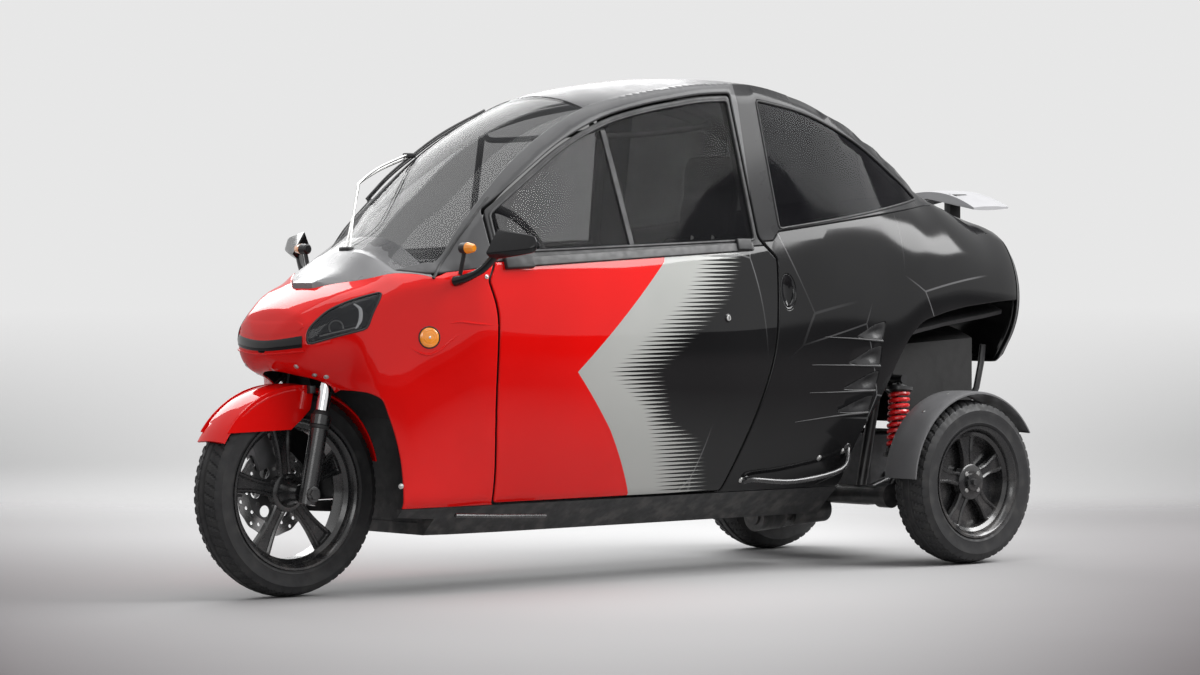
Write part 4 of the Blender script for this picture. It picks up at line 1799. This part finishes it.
# ---------------------------------------------------------------- floor, light and camera
FLOOR_REACH, FLOOR_TONE = 60.0, .47
VIEW_X, VIEW_Y = .6547, .7559    # way over the floor from the car towards the photograph's viewpoint
VIEW_FROM = 11.47                # how far that way the viewpoint is
ROWS = 3613.0                    # over the distance from it: picture rows below the horizon
HALF_WIDTHS_SEEN = 6.67          # times across over distance: half widths of the picture
EDGE_FROM, EDGE_RATE = 92.0, .0021      # rows where the outer floor starts to darken, and how fast
VEIL_FROM, VEIL_RATE = 50.0, .0017      # the same for how much of the far floor stays solid
EDGE_TONE, SIDE_TONE = (.016, .0, .005), (.010, .0, .003)


def studio_finish():
    """Matt floor, pale near the car and darker to the sides and in front; far off it thins into the sky."""
    made = Finish("studio_ground", Roughness=.8, Specular_IOR_Level=.06)
    x, y = made.axis("X"), made.axis("Y")
    near_way = made.math("ADD", made.math("MULTIPLY", x, VIEW_X), made.math("MULTIPLY", y, VIEW_Y))
    sideways = made.math("SUBTRACT", made.math("MULTIPLY", y, VIEW_X), made.math("MULTIPLY", x, VIEW_Y))
    run = made.math("SUBTRACT", VIEW_FROM, near_way)
    across = made.math("DIVIDE", made.math("ABSOLUTE", sideways), run)
    spread = made.math("POWER", made.math("MULTIPLY", across, HALF_WIDTHS_SEEN), 1.7)
    spread = made.math("MINIMUM", spread, 1.3)
    rows = made.math("DIVIDE", ROWS, run)

    edge_fall = made.math("MULTIPLY", made.math("SUBTRACT", rows, EDGE_FROM), EDGE_RATE)
    edge_dark = made.math("MULTIPLY", spread, edge_fall)
    centre = made.math("MAXIMUM", made.math("SUBTRACT", 1.0, spread), .0)
    centre_dark = made.math("MULTIPLY", made.ramp(rows, 302.0, 450.0, .0, .30), centre)
    dark = made.math("MINIMUM", made.math("ADD", edge_dark, centre_dark), .8)
    colour = made.mix(made.ramp(rows, 230.0, 330.0), (FLOOR_TONE * 1.15,) * 3, (FLOOR_TONE,) * 3)
    colour = made.mix(dark, colour, EDGE_TONE)
    colour = made.mix(made.ramp(sideways, .3, 1.8, .0, .36), colour, SIDE_TONE)
    mottle = made.ramp(made.noise(1.3, 4.0), .2, .8, .0, .02)
    made.set(Base_Color=made.mix(mottle, colour, (.5, .5, .5)))

    fall = made.math("MULTIPLY", made.math("SUBTRACT", rows, VEIL_FROM), VEIL_RATE)
    veil = made.math("MULTIPLY", spread, made.math("MAXIMUM", fall, .0))
    blend = made.add("MixShader")
    made.give(blend.inputs[0], made.math("MULTIPLY", made.ramp(near_way, -1.4, -4.0),
                                         made.math("SUBTRACT", 1.0, veil)))
    made.give(blend.inputs[1], made.shader.outputs[0])
    made.give(blend.inputs[2], made.add("BsdfTransparent").outputs[0])
    made.give(made.tree.nodes["Material Output"].inputs["Surface"], blend.outputs[0])
    return made.material


ground = merged("studio_floor", [plate(circle(FLOOR_REACH, 128), .02, bevel=.004)], [studio_finish()])
for vertex in ground.data.vertices:
    vertex.co.z -= .0101

# the sky is paler where it is seen, directly or in gloss and glass, than where it lights the car
world = bpy.data.worlds.new("studio")
bpy.context.scene.world = world
world.use_nodes = True
sky = Nodes(world.node_tree)
rays = sky.add("LightPath").outputs
seen = sky.math("MAXIMUM", rays["Is Camera Ray"],
                sky.math("MAXIMUM", rays["Is Glossy Ray"], rays["Is Transmission Ray"]))
sky.give(sky.tree.nodes["Background"].inputs["Color"], sky.mix(seen, (.42, .42, .43), (.80, .80, .80)))


def lamp(name, at, toward, size, energy):
    """Rectangular area light."""
    data = bpy.data.lights.new(name, "AREA")
    data.shape, data.size, data.size_y, data.energy = "RECTANGLE", size[0], size[1], energy
    obj = bpy.data.objects.new(name, data)
    obj.location = at
    obj.rotation_euler = (Vector(toward) - Vector(at)).to_track_quat("-Z", "Y").to_euler()
    bpy.context.scene.collection.objects.link(obj)


lamp("overhead", (-.1, .2, 4.2), (-.1, .15, 0), (5.2, 3.0), 120)
lamp("bank", (-2.9, 2.6, 3.5), (-.3, .3, .8), (4.2, 2.4), 300)
lamp("far_bank", (-1.4, -4.4, 3.8), (.6, 0, .8), (5.0, 3.2), 260)
lamp("front_fill", (5.5, 4.0, 2.6), (.4, 0, .6), (3.0, 2.0), 50)

# the photograph's viewpoint, fitted to the wheels
YAW, PITCH, ROLL = (math.radians(v) for v in (-130.907, -1.1364, -.155))
CAMERA_AT = (7.538, 8.649, .908)
LENS_MM = 119.376
ahead = Vector((math.cos(PITCH) * math.cos(YAW), math.cos(PITCH) * math.sin(YAW), math.sin(PITCH)))
right = ahead.cross(Vector((0, 0, 1))).normalized()
up = right.cross(ahead)
level = right * math.cos(ROLL) + up * math.sin(ROLL)
lifted = up * math.cos(ROLL) - right * math.sin(ROLL)
lens = bpy.data.cameras.new("camera")
lens.lens, lens.clip_end = LENS_MM, 100
camera = bpy.data.objects.new("camera", lens)
bpy.context.scene.collection.objects.link(camera)
pose = Matrix((level, lifted, -ahead)).transposed().to_4x4()
pose.translation = CAMERA_AT
camera.matrix_world = pose
bpy.context.scene.camera = camera
bpy.context.scene.view_settings.view_transform = "Standard"
